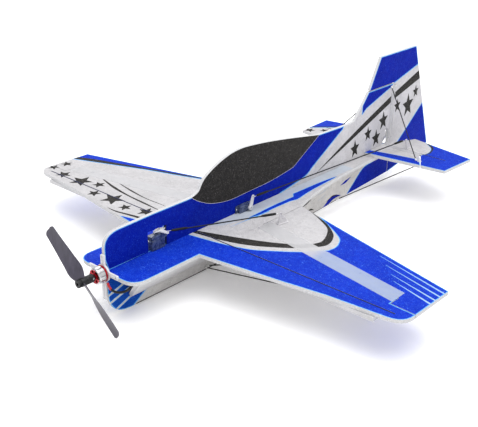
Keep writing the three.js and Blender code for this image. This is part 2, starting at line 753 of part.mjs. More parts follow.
function buildServos() {
  const armDrop = SERVO_TOP + GAP + ARM.thickness / 2;
  const aileronServo = add("aileron_servo", servoBody(), "servo_case");
  aileronServo.position.set(0, AILERON_SERVO.y, AILERON_SERVO.armZ - armDrop);
  const double = add("aileron_servo_arm", aileronArm(), "white_plastic");
  double.position.set(0, AILERON_SERVO.y, AILERON_SERVO.armZ);

  const elevatorServo = add("elevator_servo", servoBody(), "servo_case");
  elevatorServo.rotation.y = Math.PI / 2;
  elevatorServo.position.set(ELEVATOR_SERVO.x - armDrop, ELEVATOR_SERVO.y, ELEVATOR_SERVO.z);
  const elevatorReach = Math.hypot(ELEVATOR_THROW.back, ELEVATOR_THROW.up);
  const elevatorTurn = Math.atan2(ELEVATOR_THROW.up, ELEVATOR_THROW.back);
  const upArm = servoArm(elevatorReach).rotateZ(elevatorTurn).applyMatrix4(new THREE.Matrix4().makeBasis(
    new THREE.Vector3(0, 1, 0), new THREE.Vector3(0, 0, 1), new THREE.Vector3(1, 0, 0),
  ));
  const elevatorArm = add("elevator_servo_arm", upArm, "white_plastic");
  elevatorArm.position.set(ELEVATOR_SERVO.x, ELEVATOR_SERVO.y, ELEVATOR_SERVO.z);

  const rudderServo = add("rudder_servo", servoBody(), "servo_case");
  rudderServo.position.set(RUDDER_SERVO.x, RUDDER_SERVO.y, RUDDER_SERVO.armZ - armDrop);
  const rudderReach = Math.hypot(RUDDER_THROW.out, RUDDER_THROW.back);
  const rudderTurn = Math.atan2(RUDDER_THROW.back, -RUDDER_THROW.out);
  const rudderArm = add("rudder_servo_arm", servoArm(rudderReach).rotateZ(rudderTurn), "white_plastic");
  rudderArm.position.set(RUDDER_SERVO.x, RUDDER_SERVO.y, RUDDER_SERVO.armZ);
}

// ---- Control horns ----
// A triangular plate: foot on the surface, hole at the top. Its outline is (distance back, height).
const HORN = { thickness: 1.6, crown: 2.8, hole: 1.6, foot: 20 };

function hornShape(back, up, footStart) {
  const shape = new THREE.Shape();
  shape.moveTo(footStart, 0);
  shape.lineTo(footStart + HORN.foot, 0);
  shape.lineTo(back + HORN.crown, up + 0.6);
  shape.absarc(back, up, HORN.crown, 0.2, Math.PI - 0.2, false);
  shape.closePath();
  const hole = new THREE.Path();
  hole.absarc(back, up, HORN.hole, 0, 2 * Math.PI, true);
  shape.holes.push(hole);
  return shape;
}

const AILERON_HORN_PLACE = [AILERON_HORN.x, hingeY(AILERON_HORN.x), 0];

function aileronHorn() {
  const { back, up } = AILERON_HORN;
  const shape = hornShape(back, up - GAP, TAPE.aileronWidth / 2 + 2);
  return upright(shape, -HORN.thickness / 2, HORN.thickness / 2)
    .translate(0, 0, GAP)
    .rotateZ(-hingeAngle)
    .translate(...AILERON_HORN_PLACE);
}

function buildHorns() {
  add("aileron_horn_left", aileronHorn(), "white_plastic");
  add("aileron_horn_right", mirrored(aileronHorn()), "white_plastic");
  const { back, up } = ELEVATOR_THROW;
  const elevatorHorn = upright(hornShape(back, up - GAP, 9), -HORN.thickness / 2, HORN.thickness / 2)
    .translate(ELEVATOR_HORN_X, ELEVATOR_HINGE_Y, STAB_TOP + GAP);
  add("elevator_horn", elevatorHorn, "white_plastic");
  const reach = RUDDER_THROW.out - SHEET - GAP;
  const rudderShape = hornShape(RUDDER_THROW.back, reach, 7.5);
  const rudderHorn = upright(rudderShape, -HORN.thickness / 2, HORN.thickness / 2)
    .rotateY(-Math.PI / 2)
    .translate(-HALF - GAP, RUDDER_HINGE_Y, RUDDER_HORN_Z);
  add("rudder_horn", rudderHorn, "white_plastic");
}

// ---- Pushrods ----
// A pushrod is a carbon rod with a wire end lapped to each end of it. Each wire runs beside the rod, steps in
// to the rod's line, and turns square through the hole in its arm or horn.
function wireEnd(hole, standOff, along, side) {
  const through = new THREE.Vector3(...hole);
  const off = new THREE.Vector3(...standOff);
  const corner = through.clone().add(off);
  const at = (distance, aside) => corner.clone()
    .addScaledVector(along, distance)
    .addScaledVector(side, aside);
  return tubeAlong([
    through.clone().sub(off),
    through.clone(),
    through.clone().addScaledVector(off, 0.72),
    at(0.9, 0),
    at(4, 0),
    at(9, ROD.side),
    at(12, ROD.side),
    at(ROD.lap + 12, ROD.side),
  ].map((p) => p.toArray()), ROD.wireRadius, 26, 6);
}

function pushrod(name, front, frontOff, rear, rearOff) {
  const a = new THREE.Vector3(...front).add(new THREE.Vector3(...frontOff));
  const b = new THREE.Vector3(...rear).add(new THREE.Vector3(...rearOff));
  const along = b.clone().sub(a).normalize();
  const side = new THREE.Vector3(0, 0, 1).cross(along).normalize();
  const inset = along.clone().multiplyScalar(ROD.lap - 3);
  const rodFront = a.clone().add(inset).toArray();
  const rodRear = b.clone().sub(inset).toArray();
  add(`${name}_rod`, bar(rodFront, rodRear, ROD.radius, 10), "carbon");
  add(`${name}_front_wire`, wireEnd(front, frontOff, along, side), "bright_metal");
  add(`${name}_rear_wire`, wireEnd(rear, rearOff, along.clone().negate(), side), "bright_metal");
}

// The rear wires of the ailerons sit a little off the middle of their holes at rest, because the rods swing
// in two directions and the play is shared between rest and full travel.
const AILERON_PLAY = [0.65, -0.5];

function buildPushrods() {
  const { back, up } = AILERON_HORN;
  const sweep = THREE.MathUtils.degToRad(AILERON_SERVO.armSweep);
  const pinX = AILERON_SERVO.armRadius * Math.cos(sweep);
  const pinY = AILERON_SERVO.y + AILERON_SERVO.armRadius * Math.sin(sweep);
  const holeX = AILERON_HORN.x + back * Math.sin(hingeAngle) + AILERON_PLAY[0];
  const holeY = hingeY(AILERON_HORN.x) + back * Math.cos(hingeAngle) + AILERON_PLAY[1];
  const lift = [0, 0, ROD.standOff];
  const aside = [-ROD.standOff * Math.cos(hingeAngle), ROD.standOff * Math.sin(hingeAngle), 0];
  const pinZ = AILERON_SERVO.armZ;
  const mirroredAside = [-aside[0], aside[1], 0];
  pushrod("aileron_pushrod_left", [pinX, pinY, pinZ], lift, [holeX, holeY, up], aside);
  pushrod("aileron_pushrod_right", [-pinX, pinY, pinZ], lift, [-holeX, holeY, up], mirroredAside);

  const elevatorPin = [
    ELEVATOR_SERVO.x, ELEVATOR_SERVO.y + ELEVATOR_THROW.back, ELEVATOR_SERVO.z + ELEVATOR_THROW.up,
  ];
  const elevatorHole = [
    ELEVATOR_HORN_X, ELEVATOR_HINGE_Y + ELEVATOR_THROW.back, STAB_TOP + ELEVATOR_THROW.up,
  ];
  pushrod("elevator_pushrod", elevatorPin, [ROD.standOff, 0, 0], elevatorHole, [-ROD.standOff, 0, 0]);

  const rudderPin = [
    RUDDER_SERVO.x - RUDDER_THROW.out, RUDDER_SERVO.y + RUDDER_THROW.back, RUDDER_SERVO.armZ,
  ];
  const rudderHole = [HALF - RUDDER_THROW.out, RUDDER_HINGE_Y + RUDDER_THROW.back, RUDDER_HORN_Z];
  pushrod("rudder_pushrod", rudderPin, [0, 0, ROD.standOff], rudderHole, [0, 0, ROD.standOff]);
}

buildWing();
buildFuselage();
buildTail();
buildBraces();
buildPower();
buildServos();
buildHorns();
buildPushrods();

export default aeroplane;
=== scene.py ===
"""Looks of a radio-controlled aeroplane cut from printed foam sheet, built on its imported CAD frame.

Lengths are millimetres in the builder's datum: X = 0 is the middle of the fuselage and +X the left wing,
Y = 0 the wing spar with the nose towards -Y, and Z = 0 the top face of the wing sheet. row() turns them
into the frame's metres. A drawing on a level sheet is in (x, y), and on an upright sheet in (y, z).
"""

import math

import bmesh
import bpy
import numpy as np
from mathutils import Matrix, Vector
from mathutils.geometry import delaunay_2d_cdt


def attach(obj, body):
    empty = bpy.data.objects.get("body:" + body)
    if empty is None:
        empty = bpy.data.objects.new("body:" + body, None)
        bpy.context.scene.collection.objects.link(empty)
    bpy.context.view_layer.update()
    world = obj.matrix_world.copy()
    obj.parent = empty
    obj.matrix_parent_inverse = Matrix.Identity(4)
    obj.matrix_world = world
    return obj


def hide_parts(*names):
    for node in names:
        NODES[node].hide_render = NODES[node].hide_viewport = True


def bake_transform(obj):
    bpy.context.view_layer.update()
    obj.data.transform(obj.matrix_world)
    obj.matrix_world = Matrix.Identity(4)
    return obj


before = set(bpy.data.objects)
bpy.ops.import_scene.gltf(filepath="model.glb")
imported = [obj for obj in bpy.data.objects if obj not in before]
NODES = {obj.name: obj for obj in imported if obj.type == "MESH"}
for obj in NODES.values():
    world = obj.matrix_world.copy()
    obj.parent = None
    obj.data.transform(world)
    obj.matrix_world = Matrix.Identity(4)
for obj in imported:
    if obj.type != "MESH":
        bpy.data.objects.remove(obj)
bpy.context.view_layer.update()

MM = 0.001
Y_MID = 238.0
Z_LOW = -79.3
SIDES = (("left", 1), ("right", -1))
AILERON_SLOPE = 0.181
HINGE_ANGLE = math.atan(AILERON_SLOPE)


def row(x, y, z):
    return Vector((x, y - Y_MID, z - Z_LOW)) * MM


def aileron_hinge_y(x):
    return 40.5 + (359 - abs(x)) * AILERON_SLOPE


# ---------------------------------------------------------------- materials


class Graph:
    """A new material and its nodes, with plain values set on the Principled shader's own sockets."""

    def __init__(self, name, **values):
        self.material = bpy.data.materials.new(name)
        self.material.use_nodes = True
        self.tree = self.material.node_tree
        self.shader = self.tree.nodes["Principled BSDF"].inputs
        for socket, value in values.items():
            self.shader[socket.replace("_", " ")].default_value = value
        self.object_space = self.tree.nodes.new("ShaderNodeTexCoord").outputs["Object"]

    def feed(self, socket, value):
        """Links the socket to another node's output, or sets it to a colour or a plain value."""
        if isinstance(value, bpy.types.NodeSocket):
            self.tree.links.new(value, socket)
        elif socket.type == "RGBA":
            socket.default_value = (*value, 1.0)
        else:
            socket.default_value = value

    def node(self, kind, inputs, out=0, **settings):
        made = self.tree.nodes.new(kind)
        for key, value in settings.items():
            setattr(made, key, value)
        for socket, value in inputs.items():
            self.feed(made.inputs[socket], value)
        return made.outputs[out]

    def noise(self, scale, detail, rough=0.55, stretch=None):
        place = self.object_space
        if stretch:
            place = self.node("ShaderNodeMapping", {"Vector": place, "Scale": stretch})
        inputs = {"Vector": place, "Scale": scale, "Detail": detail, "Roughness": rough}
        return self.node("ShaderNodeTexNoise", inputs)

    def cell_edges(self, scale):
        inputs = {"Vector": self.object_space, "Scale": scale}
        return self.node("ShaderNodeTexVoronoi", inputs, feature="DISTANCE_TO_EDGE")

    def remap(self, value, low, high, to_low=0.0, to_high=1.0, curve="LINEAR"):
        inputs = {"Value": value, "From Min": low, "From Max": high, "To Min": to_low, "To Max": to_high}
        return self.node("ShaderNodeMapRange", inputs, interpolation_type=curve)

    def ease(self, value, low, high, to_low=0.0, to_high=1.0):
        return self.remap(value, low, high, to_low, to_high, "SMOOTHSTEP")

    def times(self, a, b):
        return self.node("ShaderNodeMath", {0: a, 1: b}, operation="MULTIPLY")

    def plus(self, a, b):
        return self.node("ShaderNodeMath", {0: a, 1: b}, operation="ADD")

    def mix(self, factor, a, b):
        return self.node("ShaderNodeMix", {0: factor, 6: a, 7: b}, 2, data_type="RGBA")

    def surface(self, colour, roughness, height, relief, depth):
        """Feeds the shader, and gives back the finished material."""
        bump = {"Height": height, "Strength": relief, "Distance": depth}
        self.feed(self.shader["Base Color"], colour)
        self.feed(self.shader["Roughness"], roughness)
        self.feed(self.shader["Normal"], self.node("ShaderNodeBump", bump))
        return self.material


def scaled(colour, factor):
    return tuple(c * factor for c in colour)


BEAD = 330.0  # beads per metre: the foam is pressed from beads about 3 mm across
INK_GAP = 0.035  # width of the groove round a bead, in bead widths


def foam(name, colour, groove, speck, specks=0.5, roughness=0.62, relief=0.5, gloss=0.12, ripple_and_valley_shade=0.35):
    """Printed bead foam: the ink over flattened beads, thinner in the grooves between them, and specked.
    The last argument is the share of the slower waves that a pressed skin shows: they give its relief, and
    the colour is darkened in their valleys as painted shade."""
    g = Graph(name, Specular_IOR_Level=gloss)
    bead_edge = g.cell_edges(BEAD)
    grain = g.noise(620.0, 2.5, 0.7)
    waves = g.noise(170.0, 3.0, 0.5)
    base = g.mix(g.remap(g.noise(28.0, 4.0), 0.3, 0.7), scaled(colour, 0.82), colour)
    # painted shade: the colour is darkened in the valleys of the slower waves
    base = g.mix(g.times(g.remap(waves, 0.52, 0.32), ripple_and_valley_shade), base, scaled(colour, 0.80))
    patches = g.times(g.ease(g.noise(130.0, 2.0), 0.42, 0.62), 0.75)
    base = g.mix(g.times(g.ease(bead_edge, 0.0, INK_GAP * 3, 1.0, 0.0), patches), base, groove)
    for spots, low, high in ((grain, 0.56, 0.70), (g.noise(310.0, 2.0, 0.6), 0.63, 0.72)):
        base = g.mix(g.times(g.ease(spots, low, high), specks), base, speck)
    rough = g.remap(grain, 0.3, 0.7, roughness - 0.10, roughness + 0.12)
    domes = g.plus(g.times(g.ease(bead_edge, 0.0, 0.22), 0.7), g.times(grain, 0.55))
    return g.surface(base, rough, g.plus(domes, g.times(waves, ripple_and_valley_shade * 5)), relief, 0.0006)


def cut_foam(name, colour):
    """A sawn edge of the sheet: open bead pockets and torn crumbs."""
    g = Graph(name, Specular_IOR_Level=0.25)
    pocket = g.ease(g.cell_edges(BEAD * 0.9), 0.0, 0.16)
    grain = g.noise(900.0, 3.0, 0.7)
    base = g.mix(g.times(pocket, g.remap(grain, 0.3, 0.6)), scaled(colour, 0.80), colour)
    return g.surface(base, 0.85, g.plus(pocket, grain), 0.6, 0.0005)


INKS = ["blue", "azure", "sky", "white", "pale", "grey", "black"]
INDEX = {name: i for i, name in enumerate(INKS)}
# Painted light and shade: one blue ink in two copies, lighter with painted light and sheen on the level
# sheets that face the lamp above, and deeper with painted shade on the upright sheets.
LEVEL_BLUE_PAINTED_LIGHT = ((0.003, 0.027, 0.45), (0.012, 0.065, 0.60), (0.07, 0.20, 0.74))
UPRIGHT_BLUE_PAINTED_SHADE = ((0.001, 0.010, 0.30), (0.005, 0.026, 0.40), (0.03, 0.09, 0.56))
AZURE = ((0.002, 0.052, 0.36), (0.008, 0.085, 0.46), (0.045, 0.19, 0.60))
SKY = ((0.075, 0.34, 0.76), (0.26, 0.52, 0.80), (0.5, 0.68, 0.84))
GREY = ((0.34, 0.34, 0.35), (0.42, 0.42, 0.43), (0.48, 0.48, 0.49))
BLACK = ((0.017, 0.016, 0.015), (0.045, 0.042, 0.040), (0.13, 0.12, 0.115))


def shades(name, blue, white, pale):
    """The printed inks of one group of sheets, and the bare sheet for their white. Each group's blue and
    white are set for how the light falls on its sheets, as painted light and shade.
    """
    whites = (white, scaled(white, 0.86), scaled(white, 1.22))
    pales = (pale, scaled(pale, 0.9), scaled(pale, 1.15))
    return {
        "blue": foam(name + "_blue", *blue, 0.5, 0.6, gloss=0.04),
        "azure": foam(name + "_azure", *AZURE, 0.5, 0.6, gloss=0.04),
        "sky": foam(name + "_sky", *SKY, 0.35),
        "white": foam(name + "_white", *whites, 0.5, 0.66, 0.85, ripple_and_valley_shade=0.9),
        "pale": foam(name + "_pale", *pales),
        "grey": foam(name + "_grey", *GREY),
        "black": foam(name + "_black", *BLACK, 0.8, 0.7),
    }


LEVEL = shades("level", LEVEL_BLUE_PAINTED_LIGHT, (0.535, 0.525, 0.54), (0.46, 0.50, 0.56))
UPRIGHT = shades("upright", UPRIGHT_BLUE_PAINTED_SHADE, (0.585, 0.575, 0.60), (0.46, 0.50, 0.56))
# Painted shade: the keel's white is tinted warm, for the beige shade on the keel under the wing and deck.
KEEL = shades("keel", UPRIGHT_BLUE_PAINTED_SHADE, (0.60, 0.585, 0.575), (0.48, 0.50, 0.54))
CUT = cut_foam("foam_cut", (0.60, 0.60, 0.615))
# Painted shade: the cut faces inside the two servo openings are this dark navy, for the shadow round the
# servos.
BAY_PAINTED_SHADE = cut_foam("foam_bay_painted_shade", (0.012, 0.018, 0.085))
PLAIN_FOAM = foam("foam_plain", (0.57, 0.565, 0.58), (0.49, 0.485, 0.50), (0.68, 0.68, 0.69), 0.5, 0.68,
                  ripple_and_valley_shade=0.7)


def finish_of(name, colour, other, scale, rough, spread=0.08, relief=0.1, stretch=None, **values):
    """A moulded, drawn or turned finish: two shades clouded together, with uneven gloss and fine relief."""
    g = Graph(name, **values)
    grain = g.noise(scale, 4.0, 0.6, stretch)
    base = g.mix(g.remap(grain, 0.32, 0.68), colour, other)
    return g.surface(base, g.remap(grain, 0.3, 0.7, rough - spread, rough + spread), grain, relief, 0.0002)


CARBON = finish_of("carbon", (0.005, 0.005, 0.006), (0.016, 0.016, 0.018), 900, 0.45, 0.1, 0.25,
                   stretch=(1, 0.04, 1), Specular_IOR_Level=0.22)
SPAR_DARK = finish_of("spar_dark", (0.004, 0.007, 0.035), (0.010, 0.016, 0.07), 500, 0.6, 0.1, 0.2,
                      stretch=(0.05, 1, 1), Specular_IOR_Level=0.1)
WHITE_HORN = finish_of("white_horn", (0.52, 0.51, 0.53), (0.60, 0.59, 0.61), 160, 0.45, 0.07, 0.08)
WHITE_PLASTIC = finish_of("white_plastic", (0.56, 0.56, 0.585), (0.66, 0.66, 0.68), 160, 0.38, 0.07, 0.08)
SERVO_CASE = finish_of("servo_case", (0.010, 0.020, 0.055), (0.075, 0.10, 0.20), 150, 0.28, 0.08, 0.06,
                       Coat_Weight=0.2, Coat_Roughness=0.15)
SEAM_DARK = finish_of("seam_dark", (0.006, 0.007, 0.012), (0.012, 0.014, 0.02), 300, 0.6)
BRASS = finish_of("brass", (0.62, 0.44, 0.16), (0.72, 0.53, 0.22), 700, 0.32, Metallic=1.0)
STEEL = finish_of("steel", (0.56, 0.56, 0.58), (0.70, 0.70, 0.71), 800, 0.27, 0.09, 0.1, Metallic=1.0)
PROP_PLASTIC = finish_of("prop_plastic", (0.034, 0.031, 0.046), (0.062, 0.056, 0.082), 90, 0.36, 0.06, 0.12,
                         stretch=(1, 1, 0.3), Specular_IOR_Level=0.35)
# Painted reflections: the silver is streaked along the can's axis from dark grey to near white, for the
# bright and dark bands that the can reflects.
CAN_SILVER_PAINTED_REFLECTIONS = finish_of("can_silver", (0.30, 0.30, 0.32), (0.86, 0.86, 0.87), 240, 0.26, 0.06, 0.05,
                       stretch=(1, 0.03, 1), Metallic=1.0)
RED_METAL = finish_of("red_metal", (0.36, 0.002, 0.012), (0.48, 0.008, 0.02), 420, 0.3, Metallic=0.7)
BLACK_METAL = finish_of("black_metal", (0.006, 0.007, 0.008), (0.016, 0.017, 0.019), 480, 0.40, Metallic=0.2,
                        Specular_IOR_Level=0.3)
# Painted shade: the windings are copper in colour, darkened to the dim inside of the can that the front
# windows show.
COPPER_PAINTED_SHADE = finish_of("copper_painted_shade", (0.10, 0.022, 0.008), (0.30, 0.09, 0.03), 900, 0.3, 0.08, 0.4, (1, 8, 1),
                   Metallic=0.9)
MAGNET = finish_of("magnet", (0.02, 0.018, 0.02), (0.05, 0.04, 0.045), 400, 0.5)
SILICONE = finish_of("silicone_black", (0.005, 0.005, 0.006), (0.014, 0.014, 0.015), 260, 0.5, 0.08, 0.2,
                     Specular_IOR_Level=0.25)
RED_SHRINK = finish_of("shrink_red", (0.42, 0.008, 0.010), (0.58, 0.02, 0.02), 240, 0.36, 0.08, 0.3)
BLACK_SHRINK = finish_of("shrink_black", (0.004, 0.004, 0.005), (0.012, 0.012, 0.013), 330, 0.5, 0.1, 0.5,
                         stretch=(1, 0.3, 1), Specular_IOR_Level=0.2)
GLUE = finish_of("glue", (0.62, 0.62, 0.60), (0.78, 0.78, 0.76), 500, 0.3, 0.1, 0.5, Coat_Weight=0.3)
WRAP_DARK = finish_of("wrap_dark", (0.014, 0.015, 0.02), (0.05, 0.052, 0.06), 180, 0.3, 0.08, 0.3,
                      Coat_Weight=0.2)
WRAP_SILVER = finish_of("wrap_silver", (0.22, 0.24, 0.28), (0.33, 0.35, 0.40), 150, 0.32, 0.08, 0.4)
CASE_GREY = finish_of("case_grey", (0.05, 0.052, 0.058), (0.08, 0.082, 0.09), 600, 0.5, 0.06, 0.3)


def hinge_tape():
    """Clear tape: white like the foam near the fuselage, and a bluer haze over the blue outer wing."""
    g = Graph("hinge_tape", Alpha=0.42, Specular_IOR_Level=0.2)
    cloud = g.noise(60.0, 4.0, 0.6)
    shade = g.remap(cloud, 0.32, 0.68)
    near = g.mix(shade, (0.60, 0.60, 0.62), (0.66, 0.655, 0.675))
    far = g.mix(shade, (0.415, 0.50, 0.65), (0.465, 0.55, 0.70))
    out_along_the_wing = g.node("ShaderNodeSeparateXYZ", {"Vector": g.object_space})
    colour = g.mix(g.ease(out_along_the_wing, 0.186, 0.205), near, far)
    return g.surface(colour, g.remap(cloud, 0.3, 0.7, 0.26, 0.42), cloud, 0.12, 0.0004)


TAPE = hinge_tape()


# ---------------------------------------------------------------- drawing


def smooth_run(points, steps=7):
    """Points on a smooth curve through the given ones, without the first."""
    p = [np.array(q, float) for q in points]
    p = [2 * p[0] - p[1], *p, 2 * p[-1] - p[-2]]
    out = []
    for before, start, end, after in zip(p, p[1:], p[2:], p[3:]):
        b = end - before
        c = 2 * before - 5 * start + 4 * end - after
        d = -before + 3 * start - 3 * end + after
        for t in np.arange(1, steps + 1) / steps:
            out.append(tuple(0.5 * (2 * start + b * t + c * t * t + d * t**3)))
    return out


def path(*items):
    """An outline: a pair is a corner, and a list is a smooth run on through its points."""
    out = []
    for item in items:
        out += smooth_run([out[-1], *item]) if isinstance(item, list) else [item]
    return out


def both(points):
    return points, [(-x, y) for x, y in points]


def ring(x, y, radii, start=0.0):
    """Points round a centre, one for each radius."""
    turn = 2 * math.pi / len(radii)
    angles = [start + i * turn for i in range(len(radii))]
    return [(x + r * math.cos(a), y + r * math.sin(a)) for r, a in zip(radii, angles)]


def circle(x, y, radius, steps):
    return ring(x, y, [radius] * steps)


def star(x, y, radius, tilt=0.0, tall=1.0):
    points = ring(0, 0, [radius, radius * 0.44] * 5, math.radians(90 + tilt))
    return [(x + a, y + b * tall) for a, b in points]


def stroke(points, widths):
    """A brush stroke along a smooth curve; its width is given at even steps along it."""
    line = np.array([points[0], *smooth_run(points)], float)
    along = np.linspace(0, 1, len(line))
    half = np.interp(along, np.linspace(0, 1, len(widths)), widths) / 2
    direction = np.gradient(line, axis=0)
    direction /= np.linalg.norm(direction, axis=1)[:, None]
    side = np.stack([-direction[:, 1], direction[:, 0]], 1) * half[:, None]
    return [tuple(p) for p in np.vstack([line + side, (line - side)[::-1]])]


def strokes(table):
    return [(ink, stroke(points, widths)) for ink, points, widths in table]


def area(points):
    p = np.array(points)
    q = np.roll(p, -1, axis=0)
    return 0.5 * float(np.sum(p[:, 0] * q[:, 1] - q[:, 0] * p[:, 1]))


def grown(points, distance):
    """The outline pushed outward by a small distance, or inward if it is negative."""
    p = np.array([q for i, q in enumerate(points) if math.dist(q, points[i - 1]) > 1e-4], float)
    if area(p) < 0:
        p = p[::-1]
    before = p - np.roll(p, 1, axis=0)
    after = np.roll(p, -1, axis=0) - p
    before /= np.linalg.norm(before, axis=1)[:, None]
    after /= np.linalg.norm(after, axis=1)[:, None]
    ways = before + after
    bisector = np.stack([ways[:, 1], -ways[:, 0]], 1)
    length = np.maximum(np.linalg.norm(bisector, axis=1), 0.7)
    return [tuple(q) for q in p + bisector / (length**2)[:, None] * 2 * distance]


def lined(points, ink, line="sky", width=1.6):
    return [(line, grown(points, width)), (ink, points)]


# ---------------------------------------------------------------- the drawings

LEAF_OUTER = path(
    (0, -17), [(60, -5), (108, 11), (142, 34), (175, 61), (199, 90)],
    [(201, 104), (197, 119), (185, 137), (153, 158), (110, 182)],
    (62, 200), (60, 240), (50, 292), (45, 365), (40, 540), (0, 540))
LEAF_BLACK = path(
    (0, -8), [(53, 3), (95, 18), (126, 37), (156, 60), (178, 84)],
    [(186, 98), (187, 110), (181, 127), (168, 145), (137, 168), (100, 183)], (60, 200), (0, 200))
LEAF_INNER = path(
    (0, 2), [(4, 3), (71, 30), (118, 52), (150, 73), (169, 93)],
    [(173, 105), (171, 117), (163, 135), (150, 153), (123, 170), (97, 183)],
    (60, 200), (40, 292), (30, 540), (0, 540))
DECK_LINE = path(
    (31, 97), [(35.5, 121), (35.8, 155), (37, 196)], (41, 213), [(34, 262), (28.5, 346)],
    [(24, 300), (21.5, 226)], (30, 216), (29.5, 205), [(28.6, 161), (30, 128), (31, 97)])
DECK_HAIR = [(32, 48), (34, 80), (36.5, 112), (38, 140)]
DECK_PALE = path((3, 30), (20, 45), (31, 97), (29.5, 205), (22, 226), (27, 400), (3, 400))
WING_STRIPES = [((268, 129), (400, 93), 3.6), ((291, 110), (400, 81), 3.6),
                ((312, 91), (400, 68), 3.8), ((326, 76), (400, 55), 4)]
NOSE_RIGHT = path((0, -210), (-110, -210), (-101, -48), (-131, -44), (-103, -37), (0, -12))
BAND_BLUE = path((-410, 75), (-400, 80), [(-363, 96.5), (-283, 123.5), (-200, 152), (-140, 171)],
                 (-130, 195), (-410, 130))
BAND_BLACK = path((-410, 62), (-400, 68), [(-373, 79), (-307, 105.5), (-252, 127.5), (-194, 147),
                                           (-120, 174)], (-120, 195), (-410, 130))
WING_STARS = [(-390, 15, 12, 20), (-386, 42, 12.5, -10), (-347, 5, 16, 0), (-298, 7, 23, 12),
              (-261, 18, 13.5, -8), (-237, -13, 13.5, 14), (-193, -7, 23.5, 5), (-151, -16, 13, -12),
              (-111, -4, 17, 18)]
WING_STROKES = [
    ("grey", [(-343, 59), (-310, 50), (-274, 39)], [0.5, 1.8, 1.5]),
    ("grey", [(-311, 70), (-270, 58), (-236, 46)], [0.5, 1.8, 1.5]),
    ("black", [(-276, 40), (-230, 28), (-183, 21), (-140, 18), (-95, 15)], [2.5, 6, 3.5, 4.5, 1]),
    ("black", [(-238, 47), (-196, 39), (-156, 34), (-125, 34), (-100, 34)], [1.5, 4, 2, 2, 0.5]),
    ("black", [(-172, -37), (-150, -37), (-126, -32), (-100, -27)], [0.8, 4, 5, 7]),
]


def wing_layers():
    layers = [("blue", [(0, -300), (500, -300), (500, 700), (0, 700)]),
              ("white", [(0, -300), (-500, -300), (-500, 700), (0, 700)])]
    layers += lined(NOSE_RIGHT, "blue")
    layers += lined(LEAF_OUTER, "white")
    layers += [("black", LEAF_BLACK), ("white", LEAF_INNER)]
    layers += [("pale", side) for side in both(DECK_PALE)]
    layers += [("sky", stroke(side, [0.3, 1.4, 2.2, 2.2])) for side in both(DECK_HAIR)]
    for side in both(DECK_LINE):
        layers += lined(side, "blue", "sky", 1.3)
    for start, end, width in WING_STRIPES:
        layers.append(("sky", stroke([start, end], [0.8, width])))
        layers.append(("pale", stroke([start, end], [0.1, width - 2.0])))
    layers += lined(BAND_BLACK, "black", "sky", 2.2)
    layers += [("blue", BAND_BLUE), ("grey", star(-346, 37, 9))]
    layers += [("black", star(*s)) for s in WING_STARS]
    return layers + strokes(WING_STROKES)


UNDER_TIP = path((262, -300), (330, 300), (500, 300), (500, -300))
UNDER_STRIPE = path((232, -300), (300, 300), (312, 300), (244, -300))


def under_layers():
    """The underside: white, with blue tips and a black stripe beside each."""
    layers = [("white", [(-500, -300), (500, -300), (500, 700), (-500, 700)])]
    for side in both(UNDER_TIP):
        layers += lined(side, "blue", "sky", 1.8)
    return layers + [("black", side) for side in both(UNDER_STRIPE)]


SIDE_BLUE = path((-220, -10), (200, -10), (211, 2), [(250, 7.5), (284, 14), (304, 26)], (392, 76), (400, 95),
                 (-220, 95))
CANOPY = path((-16, 68), (-6, 59), [(10.7, 48.3), (39, 36.4), (79, 29.6), (122, 30.2), (187, 32.5),
                                    (246, 40)], (319, 82), (325, 95), (200, 130), (50, 130), (-16, 90))
SIDE_STRIPE = path((311, 6.5), [(430, 57), (556, 105.5)], (656, 139), (660, 120), (568, 96),
                   [(556, 91.5), (430, 47), (311, 6.5)])
FIN_BLUE = path((455, 90), (467, 98.5), (553, 125), (556, 130), (557, 132), (455, 132))
RUDDER_TOP = path((440, 131), (560, 130.5), (648, 153), (700, 170), (700, 230), (440, 230))
RUDDER_LOW = path((684, 67), (615, 14), (593, -2), (556, -26), (556, -80), (760, -80), (760, 67))
SIDE_STARS = [(437, 23, 15.5), (479, 43, 13), (509, 27, 15.5), (531, 58, 16.5), (579, 78, 12.5),
              (620, 70, 21), (646, 94, 11.5)]


def upright_layers(*patches):
    """White with patches of ink in thin outlines, under the long black stripe and the stars beside it."""
    layers = [("white", [(-300, -100), (800, -100), (800, 300), (-300, 300)])]
    for patch in patches:
        layers += lined(*patch)
    layers.append(("black", SIDE_STRIPE))
    return layers + [("black", star(y, z, r, 4, 1.25)) for y, z, r in SIDE_STARS]


KEEL_FRONT = path((-220, 0), (-220, -95), (-147, -95), (-147, -82), (-28, -6), (-28, 0))
KEEL_REAR = path((421, -66), [(440, -50), (471, -27), (505, -22)], (570, -14), (570, -80), (421, -80))
KEEL_STRIPES = [((-192, -44), (-120, -22)), ((-188, -57), (-112, -34)), ((-175, -72), (-104, -44))]
KEEL_STROKES = [
    ("black", [(-132, -78), (20, -78), (315, -72), (384, -68.5)], [3.4, 3.4, 3.0, 2.6]),
    ("blue", [(340, -72), (360, -64), (378, -59), (398, -62)], [1, 9, 8, 1]),
    ("black", [(352, -62), (372, -56), (392, -60)], [0.6, 3, 0.6]),
    ("blue", [(396, -41), (412, -38), (430, -33)], [0.6, 6, 0.6]),
    ("black", [(274, -49), (290, -45), (304, -41)], [0.5, 5, 0.5]),
    ("black", [(294, -62), (304, -62), (314, -66)], [0.5, 4, 0.5]),
    ("pale", [(318, -40), (345, -36), (366, -28)], [0.5, 4, 0.5]),
    ("pale", [(322, -52), (340, -48), (352, -45)], [0.5, 3, 0.5]),
]


